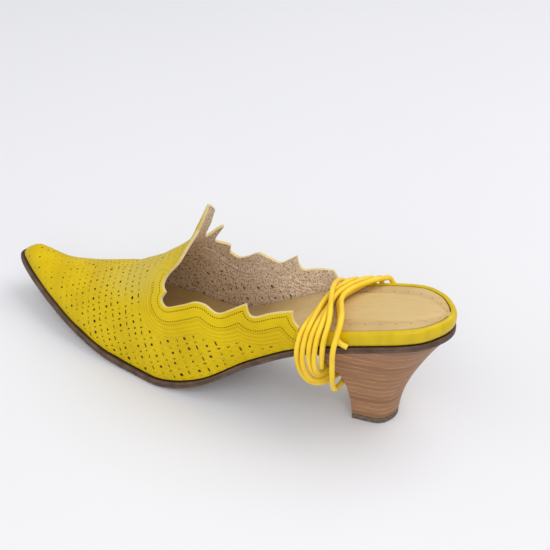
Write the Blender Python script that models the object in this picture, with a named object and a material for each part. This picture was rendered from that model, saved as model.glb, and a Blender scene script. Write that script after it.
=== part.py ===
"""A left heeled mule in leather: pointed toe, spiked crown, scalloped toplines and a wrapped tie.

The toe points to -X, the heel's back to +X, the outer (lateral) side to -Y and the inner (medial)
side to +Y. The origin is on the floor under the middle of the heel's foot. Lengths are in metres.
"""
import math

import bmesh
import bpy
import numpy as np

# Driving dimensions
SHOE_LENGTH = 0.2695  # level distance from the back of the seat to the toe tip
HEEL_BACK = 0.0348  # back of the seat behind the heel rest
BALL_WIDTH = 0.0745
SEAT_HEIGHT = 0.0615  # floor to the outsole's underside at the back
TOE_SPRING = 0.0191  # floor to the outsole's underside at the tip
TOE_SWING = 0.0112  # how far the tip lies to the medial side
SWING_START = 0.55  # share of the length where the swing starts
SWING_POWER = 1.6  # how late the swing gathers
INSTEP_HEIGHT = 0.082  # outsole to the ridge of the instep
OUTSOLE_THICKNESS = 0.004
OUTSOLE_EDGE = 0.0017  # outsole outside the feather line at the heel
OUTSOLE_BEVEL = 0.0009
GAP = 0.0003  # between pieces that touch
FOOTBED_THICKNESS = 0.0078
FOOTBED_ROUND = 0.0009
FOOTBED_TOE_INSET = 0.004  # how much further in it lies at the tip, inside the low toe box
TOE_START = 0.8  # share of the length where the toe box starts
WALL = 0.0016
BAND_WIDTH = 0.0095  # the topline's raised band
BAND_STEP = 0.0006
SPIKE_CURL = 0.0052  # how far the crown's tips bend outwards
RAND_HEIGHT = 0.0082
RAND_BULGE = 0.0015
RAND_WALL = 0.0019  # rand inside the feather line
RAND_BUTT = 0.0012  # between the rand's ends and the upper's
HEEL_LIP = 0.0603  # seat's back to the heel's front lip
HEEL_SEAT_EDGE = 0.0005  # heel outside the feather line at the seat
HEEL_FOOT_FRONT = 0.0090  # front of the heel's foot ahead of the heel rest
HEEL_FOOT_BACK = 0.0113
HEEL_FOOT_WIDTH = 0.0272
TOP_PIECE_THICKNESS = 0.0032
TOP_PIECE_EDGE = 0.0003
CORD_DIAMETER = 0.0028
CORD_PITCH = 0.0032  # middle to middle of strands that lie against each other

# Outsole underside along the length
# share of length from the back, share of seat height, share of toe spring
SOLE_PROFILE = (
    (0.000, 1.000, 0.000),
    (0.070, 0.950, 0.000),
    (0.150, 0.850, 0.000),
    (0.250, 0.700, 0.000),
    (0.360, 0.430, 0.000),
    (0.470, 0.108, 0.000),
    (0.520, 0.030, 0.000),
    (0.565, 0.000, 0.000),
    (0.625, 0.000, 0.000),
    (0.680, 0.000, 0.050),
    (0.740, 0.000, 0.204),
    (0.860, 0.000, 0.581),
    (1.000, 0.000, 1.000),
)
# Feather line, where upper and outsole meet
# share of length, lateral and medial half width as shares of the ball width
SOLE_WIDTHS = (
    (0.000, 0.000, 0.000),
    (0.015, 0.140, 0.140),
    (0.040, 0.232, 0.236),
    (0.090, 0.300, 0.314),
    (0.160, 0.325, 0.335),
    (0.250, 0.350, 0.309),
    (0.350, 0.392, 0.305),
    (0.450, 0.474, 0.385),
    (0.540, 0.497, 0.475),
    (0.620, 0.460, 0.508),
    (0.700, 0.429, 0.472),
    (0.780, 0.369, 0.380),
    (0.860, 0.274, 0.240),
    (0.930, 0.170, 0.125),
    (0.975, 0.088, 0.073),
    (0.993, 0.045, 0.045),
    (1.000, 0.000, 0.000),
)
# Outsole's ledge round the upper: share of length, share of its width at the heel
SOLE_LEDGE = ((0.00, 1.00), (0.42, 1.00), (0.60, 1.45), (1.00, 1.45))
# Ridge of the last: share of length, share of instep height
RIDGE = (
    (0.000, 1.000),
    (0.200, 1.100),
    (0.450, 1.120),
    (0.500, 1.050),
    (0.550, 0.845),
    (0.610, 0.670),
    (0.675, 0.512),
    (0.740, 0.372),
    (0.840, 0.198),
    (0.900, 0.135),
    (0.930, 0.145),
    (0.955, 0.138),
    (0.970, 0.112),
    (0.985, 0.068),
    (1.000, 0.000),
)
# Topline from the crown's middle spike to the quarter's end. A girth share is 0 on the ridge and 1 at
# the feather line. Lateral length and girth share, medial length and girth share, 1 at a sharp corner
TOPLINE = (
    (0.494, 0.000, 0.494, 0.000, 1),
    (0.524, 0.060, 0.496, 0.050, 1),
    (0.515, 0.130, 0.501, 0.098, 1),
    (0.532, 0.215, 0.545, 0.255, 0),
    (0.541, 0.285, 0.511, 0.375, 1),
    (0.561, 0.335, 0.537, 0.420, 0),
    (0.565, 0.410, 0.528, 0.500, 0),
    (0.553, 0.475, 0.509, 0.575, 1),
    (0.560, 0.515, 0.512, 0.622, 0),
    (0.543, 0.580, 0.492, 0.675, 0),
    (0.508, 0.625, 0.468, 0.682, 0),
    (0.478, 0.637, 0.441, 0.675, 0),
    (0.452, 0.670, 0.416, 0.716, 0),
    (0.425, 0.728, 0.388, 0.760, 0),
    (0.399, 0.738, 0.370, 0.758, 0),
    (0.369, 0.742, 0.350, 0.748, 1),
    (0.364, 0.785, 0.345, 0.795, 0),
    (0.352, 0.812, 0.334, 0.826, 0),
    (0.318, 0.818, 0.305, 0.839, 0),
    (0.277, 0.831, 0.272, 0.862, 1),
    (0.274, 0.872, 0.266, 0.885, 0),
    (0.263, 0.906, 0.261, 0.912, 1),
)
QUARTER_ROW = 9  # from this row back the wall's columns stand upright
# Footbed: share of length, share of its thickness
FOOTBED_SECTIONS = ((0.000, 1.00), (0.560, 1.00), (0.740, 0.60), (0.860, 0.36), (1.000, 0.26))
# Footbed's edge: share of its thickness, share of its rounding inwards
FOOTBED_EDGE = ((0.00, 0.0), (0.75, 0.0), (0.93, 0.4), (1.00, 1.0))
# Heel between its foot and the seat: height share, then the shares of the way from the foot's outline
# to the seat's at the front, the back and the sides
HEEL_FLARE = (
    (0.00, 0.000, 0.000, 0.000),
    (0.20, 0.055, 0.070, 0.075),
    (0.40, 0.130, 0.210, 0.240),
    (0.60, 0.260, 0.420, 0.450),
    (0.80, 0.560, 0.670, 0.740),
    (0.92, 0.820, 0.850, 0.900),
    (1.00, 1.000, 1.000, 1.000),
)
# Rand's section: share of its bulge outwards (or of its wall inwards, below zero), share of its height
RAND_SECTION = (
    (-1.00, 0.00),
    (0.10, 0.00),
    (0.80, 0.22),
    (1.00, 0.48),
    (0.82, 0.74),
    (0.10, 0.95),
    (-0.50, 1.00),
    (-1.00, 0.97),
)
# The tie, in the order in which the cord runs, from its root in the medial seam to its root in the
# lateral one. Over the footbed: x at the medial edge, at the bunch and at the lateral edge, then the
# strand's layer at the bunch and at the lateral edge
TIE_OVER = (
    (-0.0095, -0.0265, -0.0140, 1.0, 1.0),
    (-0.0178, -0.0298, -0.0244, 1.0, 0.0),
    (-0.0218, -0.0315, -0.0276, 0.0, 0.0),
    (-0.0258, -0.0331, -0.0308, 1.0, 0.0),
    (-0.0296, -0.0345, -0.0340, 0.0, 0.0),
    (-0.0334, -0.0315, -0.0206, 2.1, 0.0),
    (-0.0136, -0.0282, -0.0145, 0.0, 0.0),
)
# Under the shank in front of the heel: x and height of the slack loop, and how far it stands out
# beside the outsole at the lateral and at the medial side
TIE_UNDER = (
    (-0.0146, 0.0247, 0.0030, 0.0030),
    (-0.0214, 0.0334, 0.0012, 0.0008),
    (-0.0202, 0.0304, 0.0000, 0.0004),
    (-0.0189, 0.0275, 0.0012, 0.0000),
    (-0.0178, 0.0247, 0.0000, 0.0000),
    (-0.0246, 0.0366, 0.0000, 0.0000),
)
# Round an edge of the footbed: distance outside the feather line, height over the outsole's top, how
# much of a layer lies outwards there
TIE_EDGE = ((-0.0015, 0.0108, 0.1), (0.0026, 0.0097, 0.6), (0.0042, 0.0062, 1.0), (0.0043, 0.0012, 1.0))
# The cord's two ends: x, distance outside the feather line, height over the outsole's top
TIE_START = ((-0.0040, 0.0036, 0.0021), (-0.0062, 0.0038, 0.0040))
TIE_END = ((-0.0118, 0.0038, 0.0040), (-0.0088, 0.0036, 0.0021))
# Shares of the way from the bunch to the medial and to the lateral edge
TIE_WAYS = ((0.68, 0.34), (0.00, 0.26, 0.52, 0.76))
# Half a slack loop: share of the way in x to its lowest point, distance inwards, share of its drop
TIE_LOOP = ((0.00, 0.0000, 0.00), (0.12, 0.0000, 0.50), (0.42, 0.0022, 0.87), (0.75, 0.0075, 0.99))
TIE_LOOP_Y = 0.011  # half width of a loop's lowest stretch
TIE_LOOP_START = -0.003  # where a loop leaves the edge, over the outsole's top
TIE_BUNCH_Y = 0.004
TIE_TOP = 0.0108  # strand's middle over the outsole where it lies on the footbed
TIE_HOLD = (0.0017, -0.0040, 0.0086)  # what the cord lies round: how far out, from how low to how high
TIE_FRONT = -0.0341  # no strand's middle further forward, where the upper ends
SETTLE_ROUNDS = 60
SETTLE_PUSH = 0.4  # share of the crowding that a round takes away
CHORD_PARTS = 4  # places along a chord where crowding is measured
FREE_RUN = 4 * CORD_DIAMETER  # nearer than this along the cord, strands are the same stretch
SOLE_STEPS = 64
HEEL_STEPS = 14
HEEL_RINGS = 10
WALL_ROWS = 10
WALL_CROWDING = 1.25  # rows lie closer towards the foot above 1
COLUMN_STEP = 0.0028
COLUMN_SAMPLES = 41
FAN_REACH = 1.2  # reach angle where the columns stop fanning out from the tip
BAND_SHARE = 0.6  # most of a short column that the band takes
CURL_REACH = 0.016  # length of the crown's edge zone that bends
SHARE_STEP = 0.002  # step along the feather line for its direction
SMOOTH_ANGLE = math.radians(40)

parts = bpy.data.collections.new("mule")
bpy.context.scene.collection.children.link(parts)
for old in list(bpy.data.objects):
    bpy.data.objects.remove(old, do_unlink=True)


def smooth(table, column, at):
    """Read a table's column at the given first-column values, on a curve that doesn't overshoot."""
    rows = np.array(table, float)
    xs, ys = rows[:, 0], rows[:, column]
    width, slope = np.diff(xs), np.diff(ys) / np.diff(xs)
    before, after = slope[:-1], slope[1:]
    same_way = before * after > 0
    weight_a, weight_b = 2 * width[1:] + width[:-1], width[1:] + 2 * width[:-1]
    safe_before, safe_after = np.where(same_way, before, 1), np.where(same_way, after, 1)
    inner = np.where(same_way, (weight_a + weight_b) / (weight_a / safe_before + weight_b / safe_after), 0)
    tangent = np.concatenate([[slope[0]], inner, [slope[-1]]])
    at = np.clip(np.asarray(at, float), xs[0], xs[-1])
    k = np.clip(np.searchsorted(xs, at, side="right") - 1, 0, len(width) - 1)
    t = (at - xs[k]) / width[k]
    value = (1 + 2 * t) * (1 - t) ** 2 * ys[k] + t * t * (3 - 2 * t) * ys[k + 1]
    return value + t * (1 - t) ** 2 * width[k] * tangent[k] - t * t * (1 - t) * width[k] * tangent[k + 1]


def turned(share):
    """Angle that runs 0 to pi from the back to the tip, so that both ends come out round."""
    return np.arccos(1 - 2 * np.clip(share, 0, 1))


def round_table(table):
    return [(float(turned(row[0])), *row[1:]) for row in table]


def share_at(x):
    return (HEEL_BACK - np.asarray(x, float)) / SHOE_LENGTH


def sole_bottom(share):
    return SEAT_HEIGHT * smooth(SOLE_PROFILE, 1, share) + TOE_SPRING * smooth(SOLE_PROFILE, 2, share)


def sole_top(share):
    return sole_bottom(share) + OUTSOLE_THICKNESS


def half_widths(share):
    table = round_table(SOLE_WIDTHS)
    angle = turned(share)
    return BALL_WIDTH * smooth(table, 1, angle), BALL_WIDTH * smooth(table, 2, angle)


def middle(share):
    return TOE_SWING * np.clip((share - SWING_START) / (1 - SWING_START), 0, 1) ** SWING_POWER


def feather(share, side):
    """Point of the feather line in plan; side is -1 lateral and 1 medial."""
    lateral, medial = half_widths(share)
    width = lateral if side < 0 else medial
    return HEEL_BACK - SHOE_LENGTH * share, middle(share) + side * width


def last_surface(reach, tilt):
    """Point of the last: reach is the angle back from the tip, tilt the angle off the ridge."""
    share = (1 + np.cos(reach)) / 2
    lateral, medial = half_widths(share)
    width = np.where(tilt < 0, lateral, medial)
    height = INSTEP_HEIGHT * smooth(round_table(RIDGE), 1, turned(share))
    x = HEEL_BACK - SHOE_LENGTH * share
    y = middle(share) + width * np.sin(tilt)
    return np.stack([x, y, sole_top(share) + height * np.cos(tilt)], -1)


def outline(offset, toe_inset=0.0, steps=SOLE_STEPS):
    """Closed plan outline, offset outwards: back of the heel, lateral side, tip, medial side.

    The offset is a length or a function of the share of the length.
    """
    shares = (1 - np.cos(np.linspace(0, math.pi, steps + 1))) / 2
    lateral = np.stack(feather(shares, -1), -1)
    medial = np.stack(feather(shares, 1), -1)
    loop = np.concatenate([lateral, medial[-2:0:-1]])
    share = share_at(loop[:, 0])
    toe = np.clip((share - TOE_START) / (1 - TOE_START), 0, 1) ** 2
    out = offset(share) if callable(offset) else offset
    return loop + (out - toe_inset * toe)[:, None] * outward(loop)


def outward(loop):
    along = np.roll(loop, -1, 0) - np.roll(loop, 1, 0)
    normal = np.stack([along[:, 1], -along[:, 0]], -1)
    normal /= np.linalg.norm(normal, axis=1)[:, None]
    centre = loop.mean(0)
    return normal if ((loop - centre) * normal).sum() > 0 else -normal


def lifted(loop, height):
    """Plan loop with its height worked out at each point's share of the length."""
    return np.column_stack([loop, height(share_at(loop[:, 0]))])


def strips(first, count):
    """Faces that fill a ring whose two halves mirror each other, from its first point round."""
    ring = [first + k for k in range(count)]
    half = count // 2
    faces = [(ring[0], ring[1], ring[-1])]
    faces += [(ring[k], ring[k + 1], ring[count - k - 1], ring[count - k]) for k in range(1, half - 1)]
    faces.append((ring[half - 1], ring[half], ring[half + 1]))
    return faces


def skin(rings, count):
    """Faces between closed rings of as many points each."""
    faces = []
    for ring in range(rings - 1):
        here, after = ring * count, (ring + 1) * count
        for k in range(count):
            beside = (k + 1) % count
            faces.append((here + k, here + beside, after + beside, after + k))
    return faces


def loft(name, rings, material):
    """Closed solid through rings of equal length, filled across at both ends."""
    count = len(rings[0])
    points = [tuple(p) for ring in rings for p in ring]
    faces = skin(len(rings), count)
    faces += strips(0, count) + strips((len(rings) - 1) * count, count)
    return solid(name, points, faces, material)


def solid(name, points, faces, material):
    mesh = bpy.data.meshes.new(name)
    mesh.from_pydata([tuple(map(float, p)) for p in points], [], faces)
    shape = bmesh.new()
    shape.from_mesh(mesh)
    bmesh.ops.recalc_face_normals(shape, faces=shape.faces)
    shape.to_mesh(mesh)
    shape.free()
    mesh.shade_smooth()
    mesh.set_sharp_from_angle(angle=SMOOTH_ANGLE)
    obj = bpy.data.objects.new(name, mesh)
    parts.objects.link(obj)
    mesh.materials.append(material)
    return obj


def material(name, colour, roughness, metallic=0.0):
    made = bpy.data.materials.new(name)
    made.use_nodes = True
    shader = made.node_tree.nodes["Principled BSDF"]
    shader.inputs["Base Color"].default_value = (*colour, 1)
    shader.inputs["Roughness"].default_value = roughness
    shader.inputs["Metallic"].default_value = metallic
    return made


def outsole():
    """Leather outsole with a square top edge and a bevel round its underside."""
    side = OUTSOLE_THICKNESS - OUTSOLE_BEVEL

    def ledge(share):
        return OUTSOLE_EDGE * smooth(SOLE_LEDGE, 1, share)

    rings = [
        lifted(outline(ledge), sole_top),
        lifted(outline(ledge), lambda share: sole_top(share) - side),
        lifted(outline(lambda share: ledge(share) - OUTSOLE_BEVEL), sole_bottom),
    ]
    return loft("outsole", rings, material("outsole_leather", (0.09, 0.055, 0.04), 0.6))


def footbed():
    """Insole board and cover as one piece, thin under the toes."""
    inset = -RAND_WALL - GAP

    def height(part):
        def at(share):
            return sole_top(share) + GAP + part * FOOTBED_THICKNESS * smooth(FOOTBED_SECTIONS, 1, share)

        return at

    rings = [
        lifted(outline(inset - rounding * FOOTBED_ROUND, FOOTBED_TOE_INSET), height(part))
        for part, rounding in FOOTBED_EDGE
    ]
    return loft("footbed", rings, material("footbed_leather", (0.61, 0.43, 0.19), 0.55))


def heel_rand():
    """Strip round the footbed's edge, from one end of the upper round the heel to the other."""
    loop = outline(0)
    count = len(loop)
    ends = [QUARTER_END[side] * SHOE_LENGTH - RAND_BUTT for side in (-1, 1)]
    reach = HEEL_BACK - loop[:, 0]
    lateral = [k for k in range(count // 2) if reach[k] < ends[0] - GAP]
    medial = [k for k in range(count // 2 + 1, count) if reach[k] < ends[1] - GAP]
    path = [k - count for k in medial] + lateral
    normals = outward(loop)
    plan = [(loop[k], normals[k]) for k in path]
    for side, end in ((-1, ends[0]), (1, ends[1])):
        share = end / SHOE_LENGTH
        point = np.array(feather(share, side))
        ahead = np.array(feather(share + SHARE_STEP, side)) - point
        normal = np.array([ahead[1], -ahead[0]]) / np.linalg.norm(ahead)
        normal = normal if normal[1] * side > 0 else -normal
        at = 0 if side > 0 else len(plan)
        plan.insert(at, (point, normal))
    points, width = [], len(RAND_SECTION)
    for place, normal in plan:
        for out, up in RAND_SECTION:
            x, y = place + normal * (out * (RAND_BULGE if out > 0 else RAND_WALL))
            points.append((x, y, float(sole_top(share_at(x))) + GAP + up * RAND_HEIGHT))
    faces = skin(len(plan), width)
    faces += [tuple(range(width)), tuple(range((len(plan) - 1) * width, len(plan) * width))]
    return solid("heel_rand", points, faces, material("rand_leather", (0.83, 0.62, 0.01), 0.3))


def seat_outline():
    """Sole outline behind the heel's front lip, closed by a straight front edge."""
    shares = HEEL_LIP / SHOE_LENGTH * (1 - np.cos(np.linspace(0, math.pi / 2, HEEL_STEPS + 1)))
    lateral = np.stack(feather(shares, -1), -1)
    medial = np.stack(feather(shares, 1), -1)
    loop = np.concatenate([lateral, [(lateral[-1] + medial[-1]) / 2], medial[:0:-1]])
    normals = outward(np.concatenate([lateral, medial[:0:-1]]))
    normals[len(lateral) - 1] = (0, -1)
    normals[len(lateral)] = (0, 1)
    normals = np.insert(normals, len(lateral), (0, 0), 0)
    return loop + HEEL_SEAT_EDGE * normals


def heel_outlines():
    """The seat's outline and the foot's, which is the seat's scaled into the foot's size."""
    seat = seat_outline()
    front, back = seat[:, 0].min(), seat[:, 0].max()
    run = (seat[:, 0] - front) / (back - front)
    foot_x = -HEEL_FOOT_FRONT + run * (HEEL_FOOT_FRONT + HEEL_FOOT_BACK)
    foot_y = seat[:, 1] * HEEL_FOOT_WIDTH / np.ptp(seat[:, 1])
    return seat, np.stack([foot_x, foot_y - (foot_y.max() + foot_y.min()) / 2], -1), run


def heel():
    """Stacked heel, concave at the front and the back, from the top piece up to the outsole."""
    seat, foot, run = heel_outlines()
    low = TOP_PIECE_THICKNESS + GAP
    top = sole_bottom(share_at(seat[:, 0])) - GAP
    rings = []
    for level in np.linspace(0, 1, HEEL_RINGS + 1):
        front, back, side = (float(smooth(HEEL_FLARE, column, level)) for column in (1, 2, 3))
        along = front + (back - front) * run
        x = foot[:, 0] + along * (seat[:, 0] - foot[:, 0])
        y = foot[:, 1] + side * (seat[:, 1] - foot[:, 1])
        rings.append(np.column_stack([x, y, low + level * (top - low)]))
    return loft("heel", rings, material("heel_stack", (0.3, 0.16, 0.09), 0.5))


def top_piece():
    """Wear layer under the heel, flat on the floor."""
    _, foot, _ = heel_outlines()
    centre = foot.mean(0)
    reach = np.linalg.norm(foot - centre, axis=1)[:, None]
    lower = foot - (foot - centre) / reach * TOP_PIECE_EDGE
    rings = [
        np.column_stack([lower, np.zeros(len(foot))]),
        np.column_stack([foot, np.full(len(foot), TOP_PIECE_EDGE)]),
        np.column_stack([foot, np.full(len(foot), TOP_PIECE_THICKNESS)]),
    ]
    return loft("top_piece", rings, material("top_piece_rubber", (0.13, 0.1, 0.08), 0.7))


def topline(side):
    """Topline of one side as reach and tilt angles, with the row number that each point follows."""
    first = 0 if side < 0 else 2
    rows = np.array(TOPLINE, float)
    reach = math.pi - turned(rows[:, first])
    tilt = side * rows[:, first + 1] * math.pi / 2
    knots, sharp = np.stack([reach, tilt], -1), rows[:, 4] > 0
    span = np.linalg.norm(np.diff(last_surface(reach, tilt), axis=0), axis=1)
    steps = np.maximum(1, np.round(span / COLUMN_STEP).astype(int))
    points, rank = [], []
    for k in range(len(knots) - 1):
        chord = knots[k + 1] - knots[k]
        start = chord if sharp[k] or k == 0 else (knots[k + 1] - knots[k - 1]) / 2
        end = chord if sharp[k + 1] or k + 2 == len(knots) else (knots[k + 2] - knots[k]) / 2
        for t in np.arange(steps[k]) / steps[k]:
            h = (1 + 2 * t) * (1 - t) ** 2, t * (1 - t) ** 2, t * t * (3 - 2 * t), -t * t * (1 - t)
            points.append(h[0] * knots[k] + h[1] * start + h[2] * knots[k + 1] + h[3] * end)
            rank.append(k + t)
    points.append(knots[-1])
    rank.append(len(knots) - 1)
    return np.array(points), np.array(rank)


def columns(side):
    """Ends of the wall's columns on one side: on the feather line and on the topline, as angles."""
    top, rank = topline(side)
    quarter = np.searchsorted(rank, QUARTER_ROW)
    fan = np.arange(quarter + 1) / quarter
    start = top[:, 0].copy()
    start[: quarter + 1] = top[quarter, 0] * fan
    return start, top


def column_point(start, end, side, part):
    """Angles of a point between a column's ends: straight near the tip, along the girth behind it."""
    crown = end[0] * np.array([math.sin(end[1]), math.cos(end[1])])
    flat = (1 - part) * np.array([side * start, 0]) + part * crown
    straight = np.array([math.hypot(*flat), math.atan2(flat[0], flat[1])])
    tilt = side * math.pi / 2
    along = np.array([start + (end[0] - start) * part, tilt + (end[1] - tilt) * part])
    near = min(max(start / FAN_REACH, 0), 1)
    blend = near * near * (3 - 2 * near)
    return (1 - blend) * straight + blend * along


def upper():
    """One leather shell from the feather line to the topline, its band a step in the wall."""
    lines = []
    for side in (-1, 1):
        start, end = columns(side)
        one = [wall_column(start[k], end[k], side) for k in range(len(start))]
        lines.append(one[::-1] if side < 0 else one[1:])
    grid = np.array(lines[0] + lines[1])
    normals = grid_normals(grid)
    inner = grid - WALL * normals
    inner[:, 0, 2] = sole_top(share_at(inner[:, 0, 0])) + GAP
    outer = grid.copy()
    outer[:, -2:] += BAND_STEP * normals[:, -2:]
    crown = grid[len(lines[0]) - 1, -1]
    edge = np.linalg.norm(grid[:, -1] - crown, axis=1)
    curl = (SPIKE_CURL * np.clip(1 - edge / CURL_REACH, 0, 1) ** 2)[:, None] * normals[:, -1]
    outer[:, -1] += curl
    inner[:, -1] += curl
    many, rows = grid.shape[:2]
    points = np.concatenate([outer.reshape(-1, 3), inner.reshape(-1, 3)])
    rim = [(c, 0) for c in range(many)] + [(many - 1, r) for r in range(1, rows)]
    rim += [(c, rows - 1) for c in range(many - 2, -1, -1)] + [(0, r) for r in range(rows - 2, 0, -1)]
    faces = []
    for c in range(many - 1):
        for r in range(rows - 1):
            face = (c * rows + r, c * rows + r + 1, (c + 1) * rows + r + 1, (c + 1) * rows + r)
            faces += [face, tuple(k + many * rows for k in face)]
    for (c, r), (next_c, next_r) in zip(rim, rim[1:] + rim[:1]):
        here, after = c * rows + r, next_c * rows + next_r
        faces.append((here, after, after + many * rows, here + many * rows))
    return solid("upper", points, faces, material("upper_leather", (0.67, 0.5, 0.01), 0.45))


def grid_normals(grid):
    """Outward normals of the wall's grid, level along its foot so that the rim stands flat."""
    along, up = np.gradient(grid, axis=0), np.gradient(grid, axis=1)
    normals = np.cross(up, along)
    normals[:, 0, 2] = 0
    normals /= np.linalg.norm(normals, axis=2)[..., None]
    lateral_foot = normals[0, 1]
    return normals if lateral_foot[1] < 0 else -normals


def wall_column(start, end, side):
    """Points up one column of the wall, the last two over the band."""
    parts_up = np.linspace(0, 1, COLUMN_SAMPLES)
    fine = np.array([column_point(start, end, side, part) for part in parts_up])
    line = last_surface(fine[:, 0], fine[:, 1])
    run = np.concatenate([[0], np.cumsum(np.linalg.norm(np.diff(line, axis=0), axis=1))])
    inner = run[-1] - min(BAND_WIDTH, BAND_SHARE * run[-1])
    stops = inner * np.linspace(0, 1, WALL_ROWS + 1) ** WALL_CROWDING
    stops = np.concatenate([stops, [inner + BAND_STEP, run[-1]]])
    made = np.array([np.interp(stops, run, line[:, axis]) for axis in range(3)]).T
    made[0, 2] += GAP
    return made


def edge_point(x, side, out, up):
    """Point beside the feather line, in height from the outsole's top."""
    share = share_at(x)
    return x, float(feather(share, side)[1]) + side * out, float(sole_top(share)) + up


def over_points(row):
    """One strand over the footbed, from the medial edge to the lateral one."""
    medial_x, bunch_x, lateral_x, bunch_layer, lateral_layer = row
    medial = [edge_point(medial_x, 1, out, up) for out, up, _ in TIE_EDGE[::-1]]
    lateral = []
    for out, up, lean in TIE_EDGE:
        raised = lateral_layer * CORD_PITCH
        lateral.append(edge_point(lateral_x, -1, out + lean * raised, up + (1 - lean) * raised))
    route = []
    for end, end_layer, way in zip((medial[-1], lateral[0]), (0, lateral_layer), TIE_WAYS):
        for share in way:
            x = bunch_x + share * (end[0] - bunch_x)
            y = TIE_BUNCH_Y + share * (end[1] - TIE_BUNCH_Y)
            layer = bunch_layer + share * share * (end_layer - bunch_layer)
            route.append((x, y, float(sole_top(share_at(x))) + TIE_TOP + layer * CORD_PITCH))
    return medial + route + lateral


def under_points(lateral_x, medial_x, row):
    """One slack loop under the shank, from the lateral edge to the medial one."""
    low_x, low_z, *stands = row
    points = []
    for side, edge_x, stand in ((-1, lateral_x, stands[0]), (1, medial_x, stands[1])):
        x, y, z = edge_point(edge_x, side, TIE_EDGE[-1][0] + stand, TIE_LOOP_START)
        half = [
            (x + along * (low_x - x), y - side * inwards, z + drop * (low_z - z))
            for along, inwards, drop in TIE_LOOP
        ]
        half.append((low_x, side * TIE_LOOP_Y, low_z))
        points += half if side < 0 else half[::-1]
    return points


def settled(route):
    """The route with strands that crowd each other pushed apart, and kept off what they lie round."""
    line = np.array(route, float)
    for _ in range(SETTLE_ROUNDS):
        chord = np.repeat(np.arange(len(line) - 1), CHORD_PARTS)
        share = np.tile((np.arange(CHORD_PARTS) + 0.5) / CHORD_PARTS, len(line) - 1)[:, None]
        spots = (1 - share) * line[chord] + share * line[chord + 1]
        run = np.concatenate([[0], np.cumsum(np.linalg.norm(np.diff(spots, axis=0), axis=1))])
        away = spots[:, None] - spots[None]
        gap = np.linalg.norm(away, axis=2)
        crowded = (gap < CORD_PITCH) & (abs(run[:, None] - run) > FREE_RUN)
        short = np.where(crowded, (CORD_PITCH - gap) / np.maximum(gap, GAP), 0)
        wanted = away * short[..., None]
        push = SETTLE_PUSH * (wanted.max(1) + wanted.min(1))
        for weight, end in ((1 - share, 0), (share, 1)):
            moved = np.zeros_like(line)
            np.add.at(moved, chord + end, weight * push / 2)
            line += moved
        line = clear_of_shoe(line)
    return line


def clear_of_shoe(line):
    """Points moved out of the cord's reach round the footbed, the rand and the outsole."""
    line[:, 0] = np.maximum(line[:, 0], TIE_FRONT)
    share = share_at(line[:, 0])
    side = np.sign(line[:, 1])
    half_width = np.where(side < 0, *half_widths(share))
    out, up = abs(line[:, 1]) - half_width, line[:, 2] - sole_top(share)
    edge, low, high = TIE_HOLD
    off = np.stack([out - np.minimum(out, edge), up - np.clip(up, low, high)])
    far = np.maximum(np.linalg.norm(off, axis=0), GAP / 10)
    lift = np.maximum(CORD_DIAMETER / 2 + 2 * GAP - far, 0) * off / far
    line[:, 1] += side * lift[0]
    line[:, 2] += lift[1]
    return line


def tie_route():
    """The cord's points, from the seam over the outsole to the same seam opposite."""
    route = [edge_point(x, 1, out, up) for x, out, up in TIE_START]
    route += over_points(TIE_OVER[0])[2:]
    for k, row in enumerate(TIE_UNDER):
        route += under_points(TIE_OVER[k][2], TIE_OVER[k + 1][0], row)
        route += over_points(TIE_OVER[k + 1])
    route = route[:-1] + [edge_point(x, -1, out, up) for x, out, up in TIE_END]
    return settled(route)


def tie():
    """Cord wound round the waist."""
    line = bpy.data.curves.new("tie", "CURVE")
    line.dimensions = "3D"
    line.bevel_depth = CORD_DIAMETER / 2
    line.bevel_resolution = 2
    line.use_fill_caps = True
    spline = line.splines.new("POLY")
    route = tie_route()
    spline.points.add(len(route) - 1)
    for point, place in zip(spline.points, route):
        point.co = (*place, 1)
    obj = bpy.data.objects.new("tie", line)
    parts.objects.link(obj)
    line.materials.append(material("tie_leather", (0.87, 0.5, 0.03), 0.4))
    return obj


QUARTER_END = {-1: TOPLINE[-1][0], 1: TOPLINE[-1][2]}

outsole()
footbed()
heel_rand()
heel()
top_piece()
upper()
tie()
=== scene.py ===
# %% [markdown]
# # A heeled leather mule
#
# This lesson dresses a finished frame of a left mule: an upper with hundreds of punched holes, an
# insole, a rand, an outsole, a stacked heel and a long cord. The frame gives the true sizes and
# places, and each piece made here stands for one of its solids. All lengths are in metres.

# %% Load the frame
import math

import bpy
import numpy as np
from mathutils import Matrix, Vector
from mathutils.kdtree import KDTree


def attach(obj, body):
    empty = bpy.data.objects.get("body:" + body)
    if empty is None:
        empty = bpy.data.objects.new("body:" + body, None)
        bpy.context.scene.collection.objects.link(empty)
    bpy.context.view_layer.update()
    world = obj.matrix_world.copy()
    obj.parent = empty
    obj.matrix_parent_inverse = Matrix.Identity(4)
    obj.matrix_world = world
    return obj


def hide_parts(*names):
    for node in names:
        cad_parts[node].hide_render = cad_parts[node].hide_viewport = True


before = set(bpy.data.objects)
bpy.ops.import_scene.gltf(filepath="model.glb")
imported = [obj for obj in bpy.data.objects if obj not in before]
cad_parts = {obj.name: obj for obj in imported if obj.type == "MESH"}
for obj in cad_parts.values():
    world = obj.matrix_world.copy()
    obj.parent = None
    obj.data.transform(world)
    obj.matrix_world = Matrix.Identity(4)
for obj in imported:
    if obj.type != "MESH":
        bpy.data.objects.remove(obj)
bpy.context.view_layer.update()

MM = 0.001
print("solids:", sorted(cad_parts))
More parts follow.
